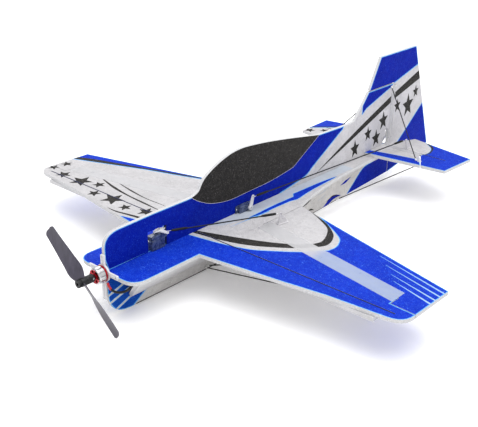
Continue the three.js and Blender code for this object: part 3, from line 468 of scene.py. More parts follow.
def keel_layers():
    layers = [("white", [(-300, -100), (800, -100), (800, 20), (-300, 20)])]
    layers += lined(KEEL_FRONT, "azure", "sky", 2.2)
    for ends in KEEL_STRIPES:
        layers += strokes([("sky", ends, [5, 4.4]), ("white", ends, [3.2, 2.6])])
    layers += lined(KEEL_REAR, "blue", "sky", 1.8)
    return layers + strokes(KEEL_STROKES)


TAIL_WHITE = path((0, 490), (45, 501), (96, 511), (93, 537), [(96, 553), (93, 569), (86, 583), (73, 595)],
                  (45, 615), (0, 615))
TAIL_BLACK = path((60, 537), (93, 534), [(100, 552), (97, 570), (89, 588), (69, 605)], (45, 615), (20, 615))
TAIL_FAR_BLUE = path((-190, 500), (-172, 517), (-126, 561), (-50, 597), (-30, 625), (-190, 625))
TAIL_STARS = [(-159, 505, 12.5, 10), (-134, 524, 12, -10), (-102, 514, 9, 20), (-70, 520, 9, 0)]


def tail_layers():
    layers = [("blue", [(0, 400), (300, 400), (300, 700), (0, 700)]),
              ("white", [(0, 400), (-300, 400), (-300, 700), (0, 700)]), ("black", TAIL_BLACK)]
    layers += lined(TAIL_WHITE, "white", "sky", 0.8)
    layers.append(("black", stroke([(16, 489), (60, 496), (103, 502)], [0.4, 2.6, 0.6])))
    layers += lined(TAIL_FAR_BLUE, "black", "sky", 2.4)
    layers.append(("blue", grown(TAIL_FAR_BLUE, -5.0)))
    return layers + [("black", star(*s)) for s in TAIL_STARS]


# ---------------------------------------------------------------- printed sheets

WELD = 1e-6  # metres: points of a sheet nearer than this are one
FLAT = 2e-6  # metres: a point this near a face's level is on it
RIM = 1.5  # width of the paler line where the ink meets a cut edge
RIM_SHOWS = {  # it is left off along hinges, seams and openings
    "wing_plate": lambda x, y: (y < aileron_hinge_y(x) - 6) | (abs(x) < 58),
    "aileron_left": lambda x, y: (y > aileron_hinge_y(x) + 8) | (abs(x) > 396),
    "aileron_right": lambda x, y: (y > aileron_hinge_y(x) + 8) | (abs(x) > 396),
    "fuselage_upper": lambda y, z: (z > 36) | (y < -140),
    "fuselage_keel": lambda y, z: (y < -100) & (z < -12),
    "stabilizer": lambda x, y: (abs(x) < 112) & (y < 528),
    "elevator": lambda x, y: (y > 560) | (abs(x) > 126),
    "rudder": lambda y, z: (y > 575) | (z > 134),
}


def inside_of(points, outline):
    """Even-odd test of many points against a closed outline."""
    a = np.array(outline, float)
    b = np.roll(a, -1, axis=0)
    x, y = points[:, 0][:, None], points[:, 1][:, None]
    spans = (a[:, 1] > y) != (b[:, 1] > y)
    with np.errstate(divide="ignore", invalid="ignore"):
        cross = (b[:, 0] - a[:, 0]) * (y - a[:, 1]) / (b[:, 1] - a[:, 1]) + a[:, 0]
    return (np.sum(spans & (x < cross), axis=1) % 2) == 1


def triangulated(outlines, precision):
    """Triangles over everything that the outlines cross or enclose: their points, corners and middles."""
    verts, edges = [], []
    for points in outlines:
        first = len(verts)
        verts += [Vector(p) for p in points]
        edges += [(first + i, first + (i + 1) % len(points)) for i in range(len(points))]
    flat, _, faces, *_ = delaunay_2d_cdt(verts, edges, [], 0, precision)
    flat = np.array([tuple(v) for v in flat])
    faces = [tuple(f) for f in faces if len(f) == 3]
    return flat, faces, flat[np.array(faces)].mean(axis=1)


def chains(edges):
    """Closed loops of vertices from loose edges."""
    around = {}
    for a, b in edges:
        around.setdefault(a, []).append(b)
        around.setdefault(b, []).append(a)
    loops = []
    while any(around.values()):
        start = here = next(v for v, others in around.items() if others)
        loop = []
        while not loop or here != start:
            loop.append(here)
            onward = around[here].pop()
            around[onward].remove(here)
            here = onward
        loops.append(loop)
    return loops


def painted(name, loops, layers):
    """Triangles filling the loops, each with its ink. Every edge of the drawing is an edge of the mesh."""
    rim = grown(max(loops, key=lambda loop: abs(area(loop))), -RIM)
    flat, faces, middle = triangulated([*loops, rim, *(points for _, points in layers)], 1e-4)
    inside = sum(inside_of(middle, loop).astype(int) for loop in loops) % 2
    ink = np.zeros(len(faces), int)
    for colour, points in layers:
        ink[inside_of(middle, points)] = INDEX[colour]
    blue = (ink == INDEX["blue"]) | (ink == INDEX["azure"])
    ink[blue & ~inside_of(middle, rim) & RIM_SHOWS[name](*middle.T)] = INDEX["sky"]
    return flat, [(f, int(c)) for f, c, keep in zip(faces, ink, inside) if keep]


def link(name, mesh, materials=()):
    piece = bpy.data.objects.new(name, mesh)
    bpy.context.scene.collection.objects.link(piece)
    for material in materials:
        mesh.materials.append(material)
    return piece


def mesh_of(name, bm):
    mesh = bpy.data.meshes.new(name)
    bm.to_mesh(mesh)
    bm.free()
    return mesh


def in_a_bay(y, z):
    """Inside one of the two servo openings of the upper fuselage sheet."""
    return (-105 < y < -63 and z < 35) or (96 < y < 126 and z < 14)


def reprint(bm, name, axis, level, layers, corner_order):
    """Puts the drawing's own faces in the place of the flat face of a sheet at this level."""
    old = [f for f in bm.faces if all(abs(v.co[axis] - level) < FLAT for v in f.verts)]
    chosen = set(old)
    border = [e for f in old for e in f.edges if sum(g in chosen for g in e.link_faces) == 1]
    axes, shift = ((0, 1), (0.0, Y_MID)) if axis == 2 else ((1, 2), (Y_MID, Z_LOW))
    place = {v: tuple(v.co[a] / MM + s for a, s in zip(axes, shift)) for e in border for v in e.verts}
    loops = [[place[v] for v in loop] for loop in chains(tuple(e.verts) for e in border)]
    flat, faces = painted(name, loops, layers)
    bmesh.ops.delete(bm, geom=old, context="FACES_ONLY")
    made = {}
    for corners, ink in faces:
        for i in corners:
            if i not in made:
                co = [level] * 3
                for a, s, value in zip(axes, shift, flat[i]):
                    co[a] = (value - s) * MM
                made[i] = bm.verts.new(co)
        bm.faces.new([made[i] for i in corners[::corner_order]]).material_index = ink


def printed_sheet(name, axis, layers, body, inks, under=None):
    """The CAD sheet with a drawing on both faces. axis is 0 for an upright sheet and 2 for a level one."""
    bm = bmesh.new()
    bm.from_mesh(NODES[name].data)
    bmesh.ops.remove_doubles(bm, verts=bm.verts, dist=WELD)
    for face in bm.faces:
        centre = face.calc_center_median() / MM
        # painted shade: faces inside a servo opening take the dark bay material in place of the cut foam
        dark = name == "fuselage_upper" and in_a_bay(centre.y + Y_MID, centre.z + Z_LOW)
        face.material_index = len(INKS) + int(dark)
        face.smooth = False
    levels = [v.co[axis] for v in bm.verts]
    reprint(bm, name, axis, min(levels), under or layers, -1)
    reprint(bm, name, axis, max(levels), layers, 1)
    bmesh.ops.remove_doubles(bm, verts=bm.verts, dist=WELD)
    mesh = mesh_of(name + "_print", bm)
    piece = link(name + "_print", mesh, [*(inks[ink] for ink in INKS), CUT, BAY_PAINTED_SHADE])
    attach(piece, body)
    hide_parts(name)


WING = wing_layers()
UNDER = under_layers()
TAIL = tail_layers()
SIDE = upright_layers((SIDE_BLUE, "blue", "sky", 2.2), (CANOPY, "black", "white", 0.6), (FIN_BLUE, "blue"))
RUDDER = upright_layers((RUDDER_TOP, "blue", "sky", 2.0), (RUDDER_LOW, "blue", "sky", 2.0))
printed_sheet("wing_plate", 2, WING, "airframe", LEVEL, UNDER)
printed_sheet("aileron_left", 2, WING, "aileron_left_body", LEVEL, UNDER)
printed_sheet("aileron_right", 2, WING, "aileron_right_body", LEVEL, UNDER)
printed_sheet("fuselage_upper", 0, SIDE, "airframe", UPRIGHT)
printed_sheet("fuselage_keel", 0, keel_layers(), "airframe", KEEL)
printed_sheet("stabilizer", 2, TAIL, "airframe", LEVEL, UNDER)
printed_sheet("elevator", 2, TAIL, "elevator_body", LEVEL, UNDER)
printed_sheet("rudder", 0, RUDDER, "rudder_body", UPRIGHT)


# ---------------------------------------------------------------- building small parts

CORNER_ANGLE = math.radians(30)  # edges sharper than this are rounded
SMOOTH_ANGLE = math.radians(42)  # and edges sharper than this are not shaded smooth


def moved(x, y, z):
    return Matrix.Translation((x, y, z))


def turned(degrees, axis="Z"):
    return Matrix.Rotation(math.radians(degrees), 4, axis)


DATUM = moved(*row(0, 0, 0)) @ Matrix.Scale(MM, 4)
FACING_FORWARD = turned(90, "X")  # local Z looks along -Y, and local Y looks up


def at(x, y, z):
    return DATUM @ moved(x, y, z)


def arc(x, y, radius, first, last, steps):
    angles = np.linspace(first, last, steps)
    return [(x + radius * math.cos(a), y + radius * math.sin(a)) for a in angles]


def rectangle(x0, x1, y0, y1, corner=0.0, steps=4):
    if corner <= 0:
        return [(x0, y0), (x1, y0), (x1, y1), (x0, y1)]
    right, left, front, back = x1 - corner, x0 + corner, y0 + corner, y1 - corner
    out = []
    for i, (x, y) in enumerate(((right, front), (right, back), (left, back), (left, front))):
        out += arc(x, y, corner, (i - 1) * math.pi / 2, i * math.pi / 2, steps + 1)
    return out


def add_lathe(bm, profile, place, sides, material=0, loop=False):
    """A turned shape about local Z. The profile is (radius, height) points."""
    rings = []
    for radius, height in profile:
        points = circle(0, 0, radius, sides if radius > 1e-6 else 1)
        rings.append([bm.verts.new(place @ Vector((*p, height))) for p in points])
    if loop:
        rings.append(rings[0])
    for low, high in zip(rings, rings[1:]):
        for i in range(sides):
            after = i + 1
            corners = (low[i % len(low)], low[after % len(low)], high[after % len(high)], high[i % len(high)])
            corners = list(dict.fromkeys(corners))
            if len(corners) > 2:
                bm.faces.new(corners).material_index = material


def skin(bm, rings, material=0):
    """Faces from each ring of vertices to the next, and over both ends."""
    for low, high in zip(rings, rings[1:]):
        for k in range(len(low)):
            after = (k + 1) % len(low)
            bm.faces.new((low[k], low[after], high[after], high[k])).material_index = material
    bm.faces.new(rings[0][::-1]).material_index = material
    bm.faces.new(rings[-1]).material_index = material


def add_tube(bm, points, radius, sides, material=0, place=DATUM):
    """A round bar along the points, with closed ends. radius is one number or one for each point."""
    line = [Vector(p) for p in points]
    radii = radius if isinstance(radius, list) else [radius] * len(line)
    across = None
    rings = []
    for i, (point, r) in enumerate(zip(line, radii)):
        along = (line[min(i + 1, len(line) - 1)] - line[max(i - 1, 0)]).normalized()
        if across is None:
            across = along.orthogonal().normalized()
        across = (across - along * across.dot(along)).normalized()
        other = along.cross(across)
        around = [point + across * a + other * b for a, b in circle(0, 0, r, sides)]
        rings.append([bm.verts.new(place @ p) for p in around])
    skin(bm, rings, material)


def add_plate(bm, outlines, holes, low, high, place=DATUM, material=0):
    """A flat sheet between two local levels: everything inside any outline and outside every hole."""
    flat, faces, middle = triangulated([*outlines, *holes], 1e-5)
    inside = np.any([inside_of(middle, p) for p in outlines], axis=0)
    for hole in holes:
        inside &= ~inside_of(middle, hole)
    kept = [f for f, keep in zip(faces, inside) if keep]
    used = sorted({i for f in kept for i in f})
    under, over = ({i: bm.verts.new(place @ Vector((*flat[i], z))) for i in used} for z in (low, high))
    directed = {(f[k], f[(k + 1) % 3]) for f in kept for k in range(3)}
    for f in kept:
        bm.faces.new([under[i] for i in f[::-1]]).material_index = material
        bm.faces.new([over[i] for i in f]).material_index = material
    for a, b in directed:
        if (b, a) not in directed:
            bm.faces.new((under[a], under[b], over[b], over[a])).material_index = material


def add_box(bm, low, high, place=DATUM, material=0):
    add_plate(bm, [rectangle(low[0], high[0], low[1], high[1])], [], low[2], high[2], place, material)


def add_screw(bm, place, radius):
    """A pan-head screw standing on local Z = 0, with a cross recess in the second material."""
    crown = [(0, -0.3), (radius, -0.3), (radius, 0.2), (radius * 0.8, 0.65), (radius * 0.45, 0.9), (0, 0.95)]
    add_lathe(bm, crown, place, 16)
    for turn in (0, 90):
        add_box(bm, (-radius * 0.55, -0.16, 0.5), (radius * 0.55, 0.16, 1.0), place @ turned(turn), 1)


def make(name, bm, materials, body, replaced=(), bevel=0.0, bevel_steps=2):
    """Finishes a mesh, softens its corners, and puts it on its body."""
    bmesh.ops.remove_doubles(bm, verts=bm.verts, dist=1e-7)
    bmesh.ops.recalc_face_normals(bm, faces=bm.faces)
    if bevel:
        flat = {"angle_limit": math.radians(1), "delimit": {"MATERIAL"}}
        bmesh.ops.dissolve_limit(bm, verts=bm.verts, edges=bm.edges, **flat)
        sharp = [e for e in bm.edges if len(e.link_faces) == 2 and e.calc_face_angle(0) > CORNER_ANGLE]
        rounding = {"offset": bevel * MM, "segments": bevel_steps, "profile": 0.5, "affect": "EDGES"}
        bmesh.ops.bevel(bm, geom=sharp, clamp_overlap=True, **rounding)
    bmesh.ops.triangulate(bm, faces=[f for f in bm.faces if len(f.verts) > 4])
    mesh = mesh_of(name, bm)
    mesh.shade_smooth()
    mesh.set_sharp_from_angle(angle=SMOOTH_ANGLE)
    piece = link(name, mesh, materials)
    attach(piece, body)
    if replaced:
        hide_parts(*replaced)


def smooth_3d(points, steps=6):
    flat = smooth_run([(x, y) for x, y, _ in points], steps)
    rise = smooth_run([(i, z) for i, (_, _, z) in enumerate(points)], steps)
    return [points[0], *((x, y, z) for (x, y), (_, z) in zip(flat, rise))]


# ---------------------------------------------------------------- motor and propeller

THRUST_Z = -2.0
MOUNT_BACK, MOUNT_FRONT = 187.3, 190.3
BASE_BACK, BASE_FRONT = 190.6, 193.8
BELL_BACK, BELL_FRONT = 194.3, 206.6
CAN_RADIUS = 13.0
COILS, MAGNETS = 9, 12
COIL_DROPS = (7.5, 6.2, 4.9, 3.6)  # each turn of wire, behind the front of the can
ADAPTER_BACK, ADAPTER_FRONT = 207.6, 223.0
PROP_Y = 227.5
BOLT_BACK, BOLT_FRONT = 232.0, 237.0
THRUST = at(0, 0, THRUST_Z) @ FACING_FORWARD


def motor_mount():
    bm = bmesh.new()
    place = at(0, 0, 0) @ FACING_FORWARD
    arms = [rectangle(-4, 4, -46, 27.5, 1.2), rectangle(-32, 32, -3.5, 3.5, 1.2)]
    arms.append(circle(0, THRUST_Z, 13.8, 40))
    bolts = [circle(x, z, 1.2, 12) for x, z in arc(0, THRUST_Z, 9.5, math.pi / 4, 7 * math.pi / 4, 4)]
    add_plate(bm, arms, [circle(0, THRUST_Z, 4.2, 20), *bolts], MOUNT_BACK, MOUNT_FRONT, place)
    for x0, x1, z0, z1 in ((-1, 1, 15, 22.5), (-1, 1, -41, -18), (-28, -15, -1, 1), (15, 28, -1, 1)):
        add_box(bm, (x0, z0, MOUNT_FRONT - 0.2), (x1, z1, MOUNT_FRONT + 0.9), place)
    make("motor_mount_moulding", bm, [WHITE_PLASTIC], "airframe", ["motor_mount"], 0.45)
    bm = bmesh.new()
    for x, z in ((0, 25), (0, -43.5), (-29.8, 0), (29.8, 0)):
        add_screw(bm, place @ moved(x, z, MOUNT_FRONT), 1.7)
    make("motor_mount_screws", bm, [STEEL, SEAM_DARK], "airframe")


def motor_base():
    bm = bmesh.new()
    rim = CAN_RADIUS + 0.2
    profile = [(0, BASE_BACK), (rim - 1.8, BASE_BACK), (rim - 0.3, BASE_BACK + 0.9), (rim, BASE_BACK + 1.4),
               (rim, BASE_FRONT - 0.3), (rim - 0.3, BASE_FRONT), (9.4, BASE_FRONT), (9.0, BASE_FRONT - 0.6),
               (0, BASE_FRONT - 0.6)]
    add_lathe(bm, profile, THRUST, 48)
    make("motor_base_turned", bm, [RED_METAL], "airframe", ["motor_base"])


def can_profile(r):
    grooves = []
    for level in (BELL_BACK + 1.6, BELL_BACK + 8.6):
        grooves += [(r, level - 0.25), (r - 0.3, level), (r, level + 0.25)]
    front = [(r, BELL_FRONT - 2.2), (r - 0.5, BELL_FRONT - 1.0), (r - 1.5, BELL_FRONT - 0.35),
             (r - 2.1, BELL_FRONT - 0.3), (r - 2.3, BELL_FRONT - 0.9)]
    return [(r - 0.4, BELL_BACK), (r, BELL_BACK + 0.4), *grooves, *front, (r - 2.3, BELL_BACK + 1.0),
            (r - 1.6, BELL_BACK)]


def motor_bell():
    bm = bmesh.new()
    r = CAN_RADIUS
    add_lathe(bm, can_profile(r), THRUST, 64, 0, loop=True)
    windows = [circle(x, y, 2.5, 18) for x, y in circle(0, 0, 7.7, 6)]
    add_plate(bm, [circle(0, 0, r - 2.2, 48)], windows, BELL_FRONT - 2.2, BELL_FRONT - 0.9, THRUST, 1)
    boss = [(4.9, BELL_FRONT - 1.0), (4.7, BELL_FRONT), (3.4, BELL_FRONT + 0.4), (2.2, BELL_FRONT + 0.9),
            (0, BELL_FRONT + 0.9)]
    add_lathe(bm, boss, THRUST, 32, 1)
    back, inner = BELL_BACK + 0.2, r - 2.0
    add_lathe(bm, [(0, back), (inner, back), (inner, back + 1.0), (0, back + 1.0)], THRUST, 32, 3)
    coil = rectangle(4.2, 9.8, -1.5, 1.5, 1.2, 3)
    for i in range(COILS):
        for drop in COIL_DROPS:
            run = [(*p, BELL_FRONT - drop) for p in (*coil, coil[0])]
            add_tube(bm, run, 0.65, 6, 2, THRUST @ turned(360 / COILS * i))
    for i in range(MAGNETS):
        low, high = (9.9, -2.2, BELL_BACK + 1.3), (10.8, 2.2, BELL_FRONT - 2.3)
        add_box(bm, low, high, THRUST @ turned(360 / MAGNETS * i + 8), 3)
    inks = [CAN_SILVER_PAINTED_REFLECTIONS, RED_METAL, COPPER_PAINTED_SHADE, MAGNET]
    make("motor_bell_turned", bm, inks, "prop_rotor", ["motor_bell"])


def prop_adapter():
    bm = bmesh.new()
    back, front = ADAPTER_BACK, ADAPTER_FRONT
    collar = [(0, back), (4.4, back), (4.4, back + 1.0), (6.0, back + 1.8), (6.5, back + 2.4)]
    groove = [(6.5, back + 6.6), (6.15, back + 7.0), (6.15, back + 7.6), (6.5, back + 8.0)]
    cone = [(6.5, front - 1.4), (6.1, front - 0.8), (6.1, front), (0, front)]
    add_lathe(bm, collar + groove + cone, THRUST, 40)
    for turn in (15, 135, 255):
        sideways = THRUST @ turned(turn) @ moved(6.1, 0, back + 4.5) @ turned(90, "Y")
        add_lathe(bm, [(1.3, -0.4), (1.3, 0.45), (0.8, 0.45), (0.75, -0.1), (0, -0.1)], sideways, 12, 1)
    make("prop_adapter_turned", bm, [BLACK_METAL, STEEL], "prop_rotor", ["prop_adapter"])


BLADE_RADIUS = 94.5
BLADE_ROOT = 3.0
BLADE_ROOT_CHORD = 13.0
BLADE_CHORD = 26.5
BLADE_PITCH = 85.0
BLADE_ANGLE = 50.0
BLADE_STATIONS = 40
BLADE_AROUND = 28


def blade_chord(share):
    swell = math.sin(min(share / 0.2, 1) * math.pi / 2)
    taper = 1 - 0.13 * max(0, (share - 0.5) / 0.5)
    corner = math.sqrt(1 - 0.75 * max(0, (share - 0.95) / 0.05) ** 2)
    return (BLADE_ROOT_CHORD + (BLADE_CHORD - BLADE_ROOT_CHORD) * swell) * taper * corner


def add_blade(bm, place):
    """Aerofoil sections stacked along local Y, each set at the angle that the pitch asks for."""
    rings = []
    for s in range(BLADE_STATIONS + 1):
        share = math.sin(s / BLADE_STATIONS * math.pi / 2)
        radius = BLADE_ROOT + (BLADE_RADIUS - BLADE_ROOT) * share
        chord = blade_chord(share)
        thick = 3.4 * (1 - share) ** 1.3 + 0.8
        helix = min(math.atan(BLADE_PITCH / (2 * math.pi * radius)), 0.5)
        section = []
        for cosine, sine in circle(0, 0, 1, BLADE_AROUND):
            camber = 0.035 * chord * (1 - cosine**2)
            lift = thick / 2 * sine * (0.75 + 0.25 * cosine) + camber
            x = chord / 2 * cosine * math.cos(helix) - lift * math.sin(helix)
            z = -(chord / 2 * cosine * math.sin(helix) + lift * math.cos(helix))
            section.append(bm.verts.new(place @ Vector((x, radius, z))))
        rings.append(section)
    skin(bm, rings)


def propeller():
    bm = bmesh.new()
    hub = THRUST @ moved(0, 0, PROP_Y)
    for turn in (BLADE_ANGLE, BLADE_ANGLE + 180):
        add_blade(bm, hub @ turned(turn))
    profile = [(3.0, -4.2), (6.0, -4.2), (6.6, -3.6), (6.6, 3.4), (6.1, 4.1), (3.0, 4.1)]
    add_lathe(bm, profile, hub, 40, 1, loop=True)
    make("propeller_moulding", bm, [PROP_PLASTIC, BLACK_METAL], "prop_rotor", ["propeller"])


def prop_bolt():
    bm = bmesh.new()
    add_plate(bm, [circle(0, 0, 6.1, 36)], [circle(0, 0, 2.5, 6)], BOLT_BACK, BOLT_FRONT, THRUST)
    floor, top = BOLT_BACK + 1, BOLT_BACK + 1.6
    add_lathe(bm, [(0, floor), (3, floor), (3, top), (0, top)], THRUST, 16)
    make("prop_bolt_turned", bm, [BLACK_METAL], "prop_rotor", ["prop_bolt"], 0.6)


LEAD_ROUTE = [(12.2, -192.4, -13.4), (15.5, -192.8, -18), (20.5, -192, -22), (27, -188, -24.8),
              (33.5, -181, -24.6), (37, -173, -21.5), (35, -166, -17.5), (29, -158, -15.5),
              (20, -150, -16.5), (9, -144.5, -18)]
LEAD_STEP = Vector((0.75, -0.6, 1.15))


def motor_leads():
    wires, shrinks = bmesh.new(), bmesh.new()
    for k in (-1, 0, 1):
        run = [Vector(p) + LEAD_STEP * k for p in smooth_3d(LEAD_ROUTE)]
        add_tube(wires, run, 1.4, 12)
        add_tube(shrinks, run[:12], [1.75] * 11 + [1.55], 14)
    make("motor_lead_wires", wires, [SILICONE], "airframe", ["motor_leads"])
    make("motor_lead_shrinks", shrinks, [RED_SHRINK], "airframe")


motor_mount()
motor_base()
motor_bell()
prop_adapter()
propeller()
prop_bolt()
motor_leads()


# ---------------------------------------------------------------- servos and their arms

SERVO_LENGTH, SERVO_WIDTH, SERVO_HEIGHT = 27.0, 12.4, 22.8
CASE_PARTS = ((0, 4.4), (4.7, 17.9), (18.2, SERVO_HEIGHT))  # lid, body and gearbox, with seams between
SECOND_GEAR = -7.4
SHAFT_FROM_END = 6.5
EAR_OUT, EAR_LEVEL, EAR_THICK = 5.0, 15.6, 1.6
SERVO_TOP = SERVO_HEIGHT + 3.5
ARM_THICK = 1.8
ARM_DROP = SERVO_TOP + 0.3 + ARM_THICK / 2
AILERON_SERVO = (0, -77, 28)
ELEVATOR_SERVO = (15.2, 118, 6.6)
RUDDER_SERVO = (-9.4, 150, 28)
AILERON_ARM = 16.0
SWEEP = 6.9
ELEVATOR_BACK, ELEVATOR_UP = 6.0, 19.0
RUDDER_OUT, RUDDER_BACK = 20.0, 10.0
ACROSS = Matrix(((0, 0, 1, 0), (1, 0, 0, 0), (0, 1, 0, 0), (0, 0, 0, 1)))  # local XY is the row's YZ


def servo(node_name, place):
    """A split case with ears on the shaft's Z axis, its long side running along local -Y."""
    back = SHAFT_FROM_END
    front = back - SERVO_LENGTH
    half = SERVO_WIDTH / 2
    top = SERVO_HEIGHT
    lugs = (front - EAR_OUT / 2, back + EAR_OUT / 2)
    bm = bmesh.new()
    for low, high in CASE_PARTS:
        add_plate(bm, [rectangle(-half, half, front, back, 0.9, 2)], [], low, high, place)
    ears = rectangle(-half + 0.1, half - 0.1, front - EAR_OUT, back + EAR_OUT, 1.0, 2)
    add_plate(bm, [ears], [circle(0, y, 1.1, 12) for y in lugs], EAR_LEVEL, EAR_LEVEL + EAR_THICK, place)
    tower = [(half - 0.4, top - 0.5), (half - 0.4, top + 1.2), (half - 0.8, top + 1.5), (3.4, top + 1.5),
             (3.0, top + 1.7), (0, top + 1.7)]
    add_lathe(bm, tower, place, 32)
    add_lathe(bm, [(2.4, top - 0.5), (2.4, top + 1.2), (0, top + 1.2)], place @ moved(0, SECOND_GEAR, 0), 20)
    make(node_name + "_case", bm, [SERVO_CASE], "airframe", [node_name], 0.3)
    bm = bmesh.new()
    add_box(bm, (-half + 0.35, front + 0.35, 0.5), (half - 0.35, back - 0.35, top - 0.6), place, 1)
    add_plate(bm, [ring(0, 0, [1.7, 2.0] * 21)], [], top + 1.6, SERVO_TOP, place, 2)
    for y in lugs:
        add_screw(bm, place @ moved(0, y, EAR_LEVEL + EAR_THICK), 1.9)
    for x in (-half + 1.6, half - 1.6):
        for y in (front + 1.6, back - 1.6):
            add_screw(bm, place @ moved(x, y, 0) @ turned(180, "X") @ Matrix.Scale(0.2, 4, (0, 0, 1)), 0.9)
    make(node_name + "_fittings", bm, [STEEL, SEAM_DARK, BRASS], "airframe")


def lever(length, boss, end):
    quarter = math.pi / 2
    lean = math.asin((boss - end) / length)
    out = arc(0, 0, boss, quarter - lean, 3 * quarter + lean, 18)
    return out + arc(length, 0, end, lean - quarter, quarter - lean, 12)


def turned_points(points, degrees):
    c, s = math.cos(math.radians(degrees)), math.sin(math.radians(degrees))
    return [(x * c - y * s, x * s + y * c) for x, y in points]


def servo_arm(node_name, place, body, arms):
    """A moulded arm in the local XY plane. arms is (length, angle, number of holes) for each spoke."""
    outlines, holes = [], []
    for length, angle, count in arms:
        outlines.append(turned_points(lever(length, 4.2, 2.7), angle))
        for k in range(count):
            holes.append(turned_points(circle(length - 3.1 * k, 0, 1.0 if k == 0 else 0.6, 12), angle))
    bm = bmesh.new()
    add_plate(bm, outlines, holes, -ARM_THICK / 2, ARM_THICK / 2, place)
    boss = [(2.15, -2.6), (3.3, -2.6), (3.6, -2.2), (3.6, 1.5), (3.3, 1.8), (2.0, 1.8), (1.9, 0.6), (0, 0.6)]
    add_lathe(bm, boss, place, 28)
    make(node_name + "_moulding", bm, [WHITE_PLASTIC], body, [node_name], 0.25)
    bm = bmesh.new()
    add_screw(bm, place @ moved(0, 0, 0.85), 1.6)
    make(node_name + "_screw", bm, [STEEL, SEAM_DARK], body)


def one_spoke(across, up):
    return [(math.hypot(across, up), math.degrees(math.atan2(up, across)), 4)]


DOUBLE_ARM = [(AILERON_ARM, SWEEP, 4), (AILERON_ARM, 180 - SWEEP, 4), (9, 90, 2), (9, -90, 2)]
servo("aileron_servo", at(*AILERON_SERVO) @ moved(0, 0, -ARM_DROP))
servo("elevator_servo", at(*ELEVATOR_SERVO) @ moved(-ARM_DROP, 0, 0) @ turned(90, "Y"))
servo("rudder_servo", at(*RUDDER_SERVO) @ moved(0, 0, -ARM_DROP))
servo_arm("aileron_servo_arm", at(*AILERON_SERVO), "aileron_arm_body", DOUBLE_ARM)
servo_arm("elevator_servo_arm", at(*ELEVATOR_SERVO) @ ACROSS, "elevator_arm_body",
          one_spoke(ELEVATOR_BACK, ELEVATOR_UP))
servo_arm("rudder_servo_arm", at(*RUDDER_SERVO), "rudder_arm_body", one_spoke(-RUDDER_OUT, RUDDER_BACK))


# ---------------------------------------------------------------- horns and pushrods

HORN_THICK = 1.6
FOOT_LIFT = 0.3  # of a horn's foot over its surface
AILERON_HORN_X = 80.0
AILERON_HORN_BACK, AILERON_HORN_UP = 24.0, 18.0
ELEVATOR_HORN_X = 52.0
STAB_TOP = 6.3
FIN_SIDE = 3.0  # half the thickness of the upright sheets
ELEVATOR_HINGE_Y = 537.0
RUDDER_HINGE_Y = 560.0
RUDDER_HORN_Z = 48.0
WIRE_STAND = 2.4  # from the middle of an arm or horn to the rod beside it
WIRE_OUT, WIRE_BACK = 0.65, -0.5  # where the wire lies in the wider hole of an aileron horn
SLEEVE = ((7.6, 1.4), (8.4, 1.9), (16, 2.15), (28, 2.1), (34, 1.7), (34.8, 1.3))


def horn(node_name, place, body, back, up, foot):
    """A triangular plate in the local YZ plane, on a foot screwed to the surface."""
    bm = bmesh.new()
    outline = [(foot, 0), (foot + 20, 0), *arc(back, up, 2.8, 0.2, math.pi - 0.2, 10)]
    holes = [circle(back, up, 1.6, 16)]
    holes += [circle(back + (foot + 10 - back) * t, up * (1 - t), 0.8, 10) for t in (0.28, 0.5)]
    add_plate(bm, [outline], holes, -HORN_THICK / 2, HORN_THICK / 2, place @ ACROSS)
    add_plate(bm, [rectangle(-3.4, 3.4, foot - 0.6, foot + 20.6, 1.4)], [], 0, 1.0, place)
    make(node_name + "_moulding", bm, [WHITE_HORN], body, [node_name], 0.2)


def add_profile(bm, start, way, profile, sides):
    """A round bar from start. The profile is (distance along the way, radius) points."""
    add_tube(bm, [start + way * d for d, _ in profile], [r for _, r in profile], sides)


def end_wire(name, end, body, hole, off, corner, way, side):
    """The wire at one end of a pushrod: through its hole, round a bend, and back beside the rod."""
    beside = [corner + way * d + side * 1.75 for d in (9, 12, 24)]
    points = [hole - off, hole, hole + off * 0.72, corner + way * 0.9, corner + way * 4, *beside]
    bm = bmesh.new()
    add_tube(bm, smooth_3d([tuple(p) for p in points], 5), 0.5, 10)
    make(f"{name}_{end}_bend", bm, [STEEL], body, [f"{name}_{end}_wire"])


def linkage(name, body, front, front_off, rear, rear_off):
    """A carbon rod between two bent wires, each wire bound to the rod by a shrunk sleeve."""
    front, front_off, rear, rear_off = map(Vector, (front, front_off, rear, rear_off))
    a = front + front_off
    b = rear + rear_off
    along = (b - a).normalized()
    side = Vector((0, 0, 1)).cross(along).normalized()
    bm = bmesh.new()
    add_tube(bm, [a + along * d for d in np.linspace(11, (b - a).length - 11, 9)], 1.05, 16)
    make(name + "_carbon", bm, [CARBON], body, [name + "_rod"])
    bm = bmesh.new()
    for start, way in ((a, along), (b, -along)):
        add_profile(bm, start + side * 0.8, way, SLEEVE, 16)
    make(name + "_sleeves", bm, [BLACK_SHRINK], body)
    end_wire(name, "front", body, front, front_off, a, along, side)
    end_wire(name, "rear", body, rear, rear_off, b, -along, side)


def all_horns():
    for side, s in SIDES:
        foot = at(s * AILERON_HORN_X, aileron_hinge_y(AILERON_HORN_X), FOOT_LIFT)
        place = foot @ Matrix.Rotation(-s * HINGE_ANGLE, 4, "Z")
        body = f"aileron_{side}_body"
        horn(f"aileron_horn_{side}", place, body, AILERON_HORN_BACK, AILERON_HORN_UP - FOOT_LIFT, 18)
    foot = at(ELEVATOR_HORN_X, ELEVATOR_HINGE_Y, STAB_TOP + FOOT_LIFT)
    horn("elevator_horn", foot, "elevator_body", ELEVATOR_BACK, ELEVATOR_UP - FOOT_LIFT, 9)
    foot = at(-FIN_SIDE - FOOT_LIFT, RUDDER_HINGE_Y, RUDDER_HORN_Z) @ turned(-90, "Y")
    horn("rudder_horn", foot, "rudder_body", RUDDER_BACK, RUDDER_OUT - 2 * FIN_SIDE - FOOT_LIFT, 7.5)


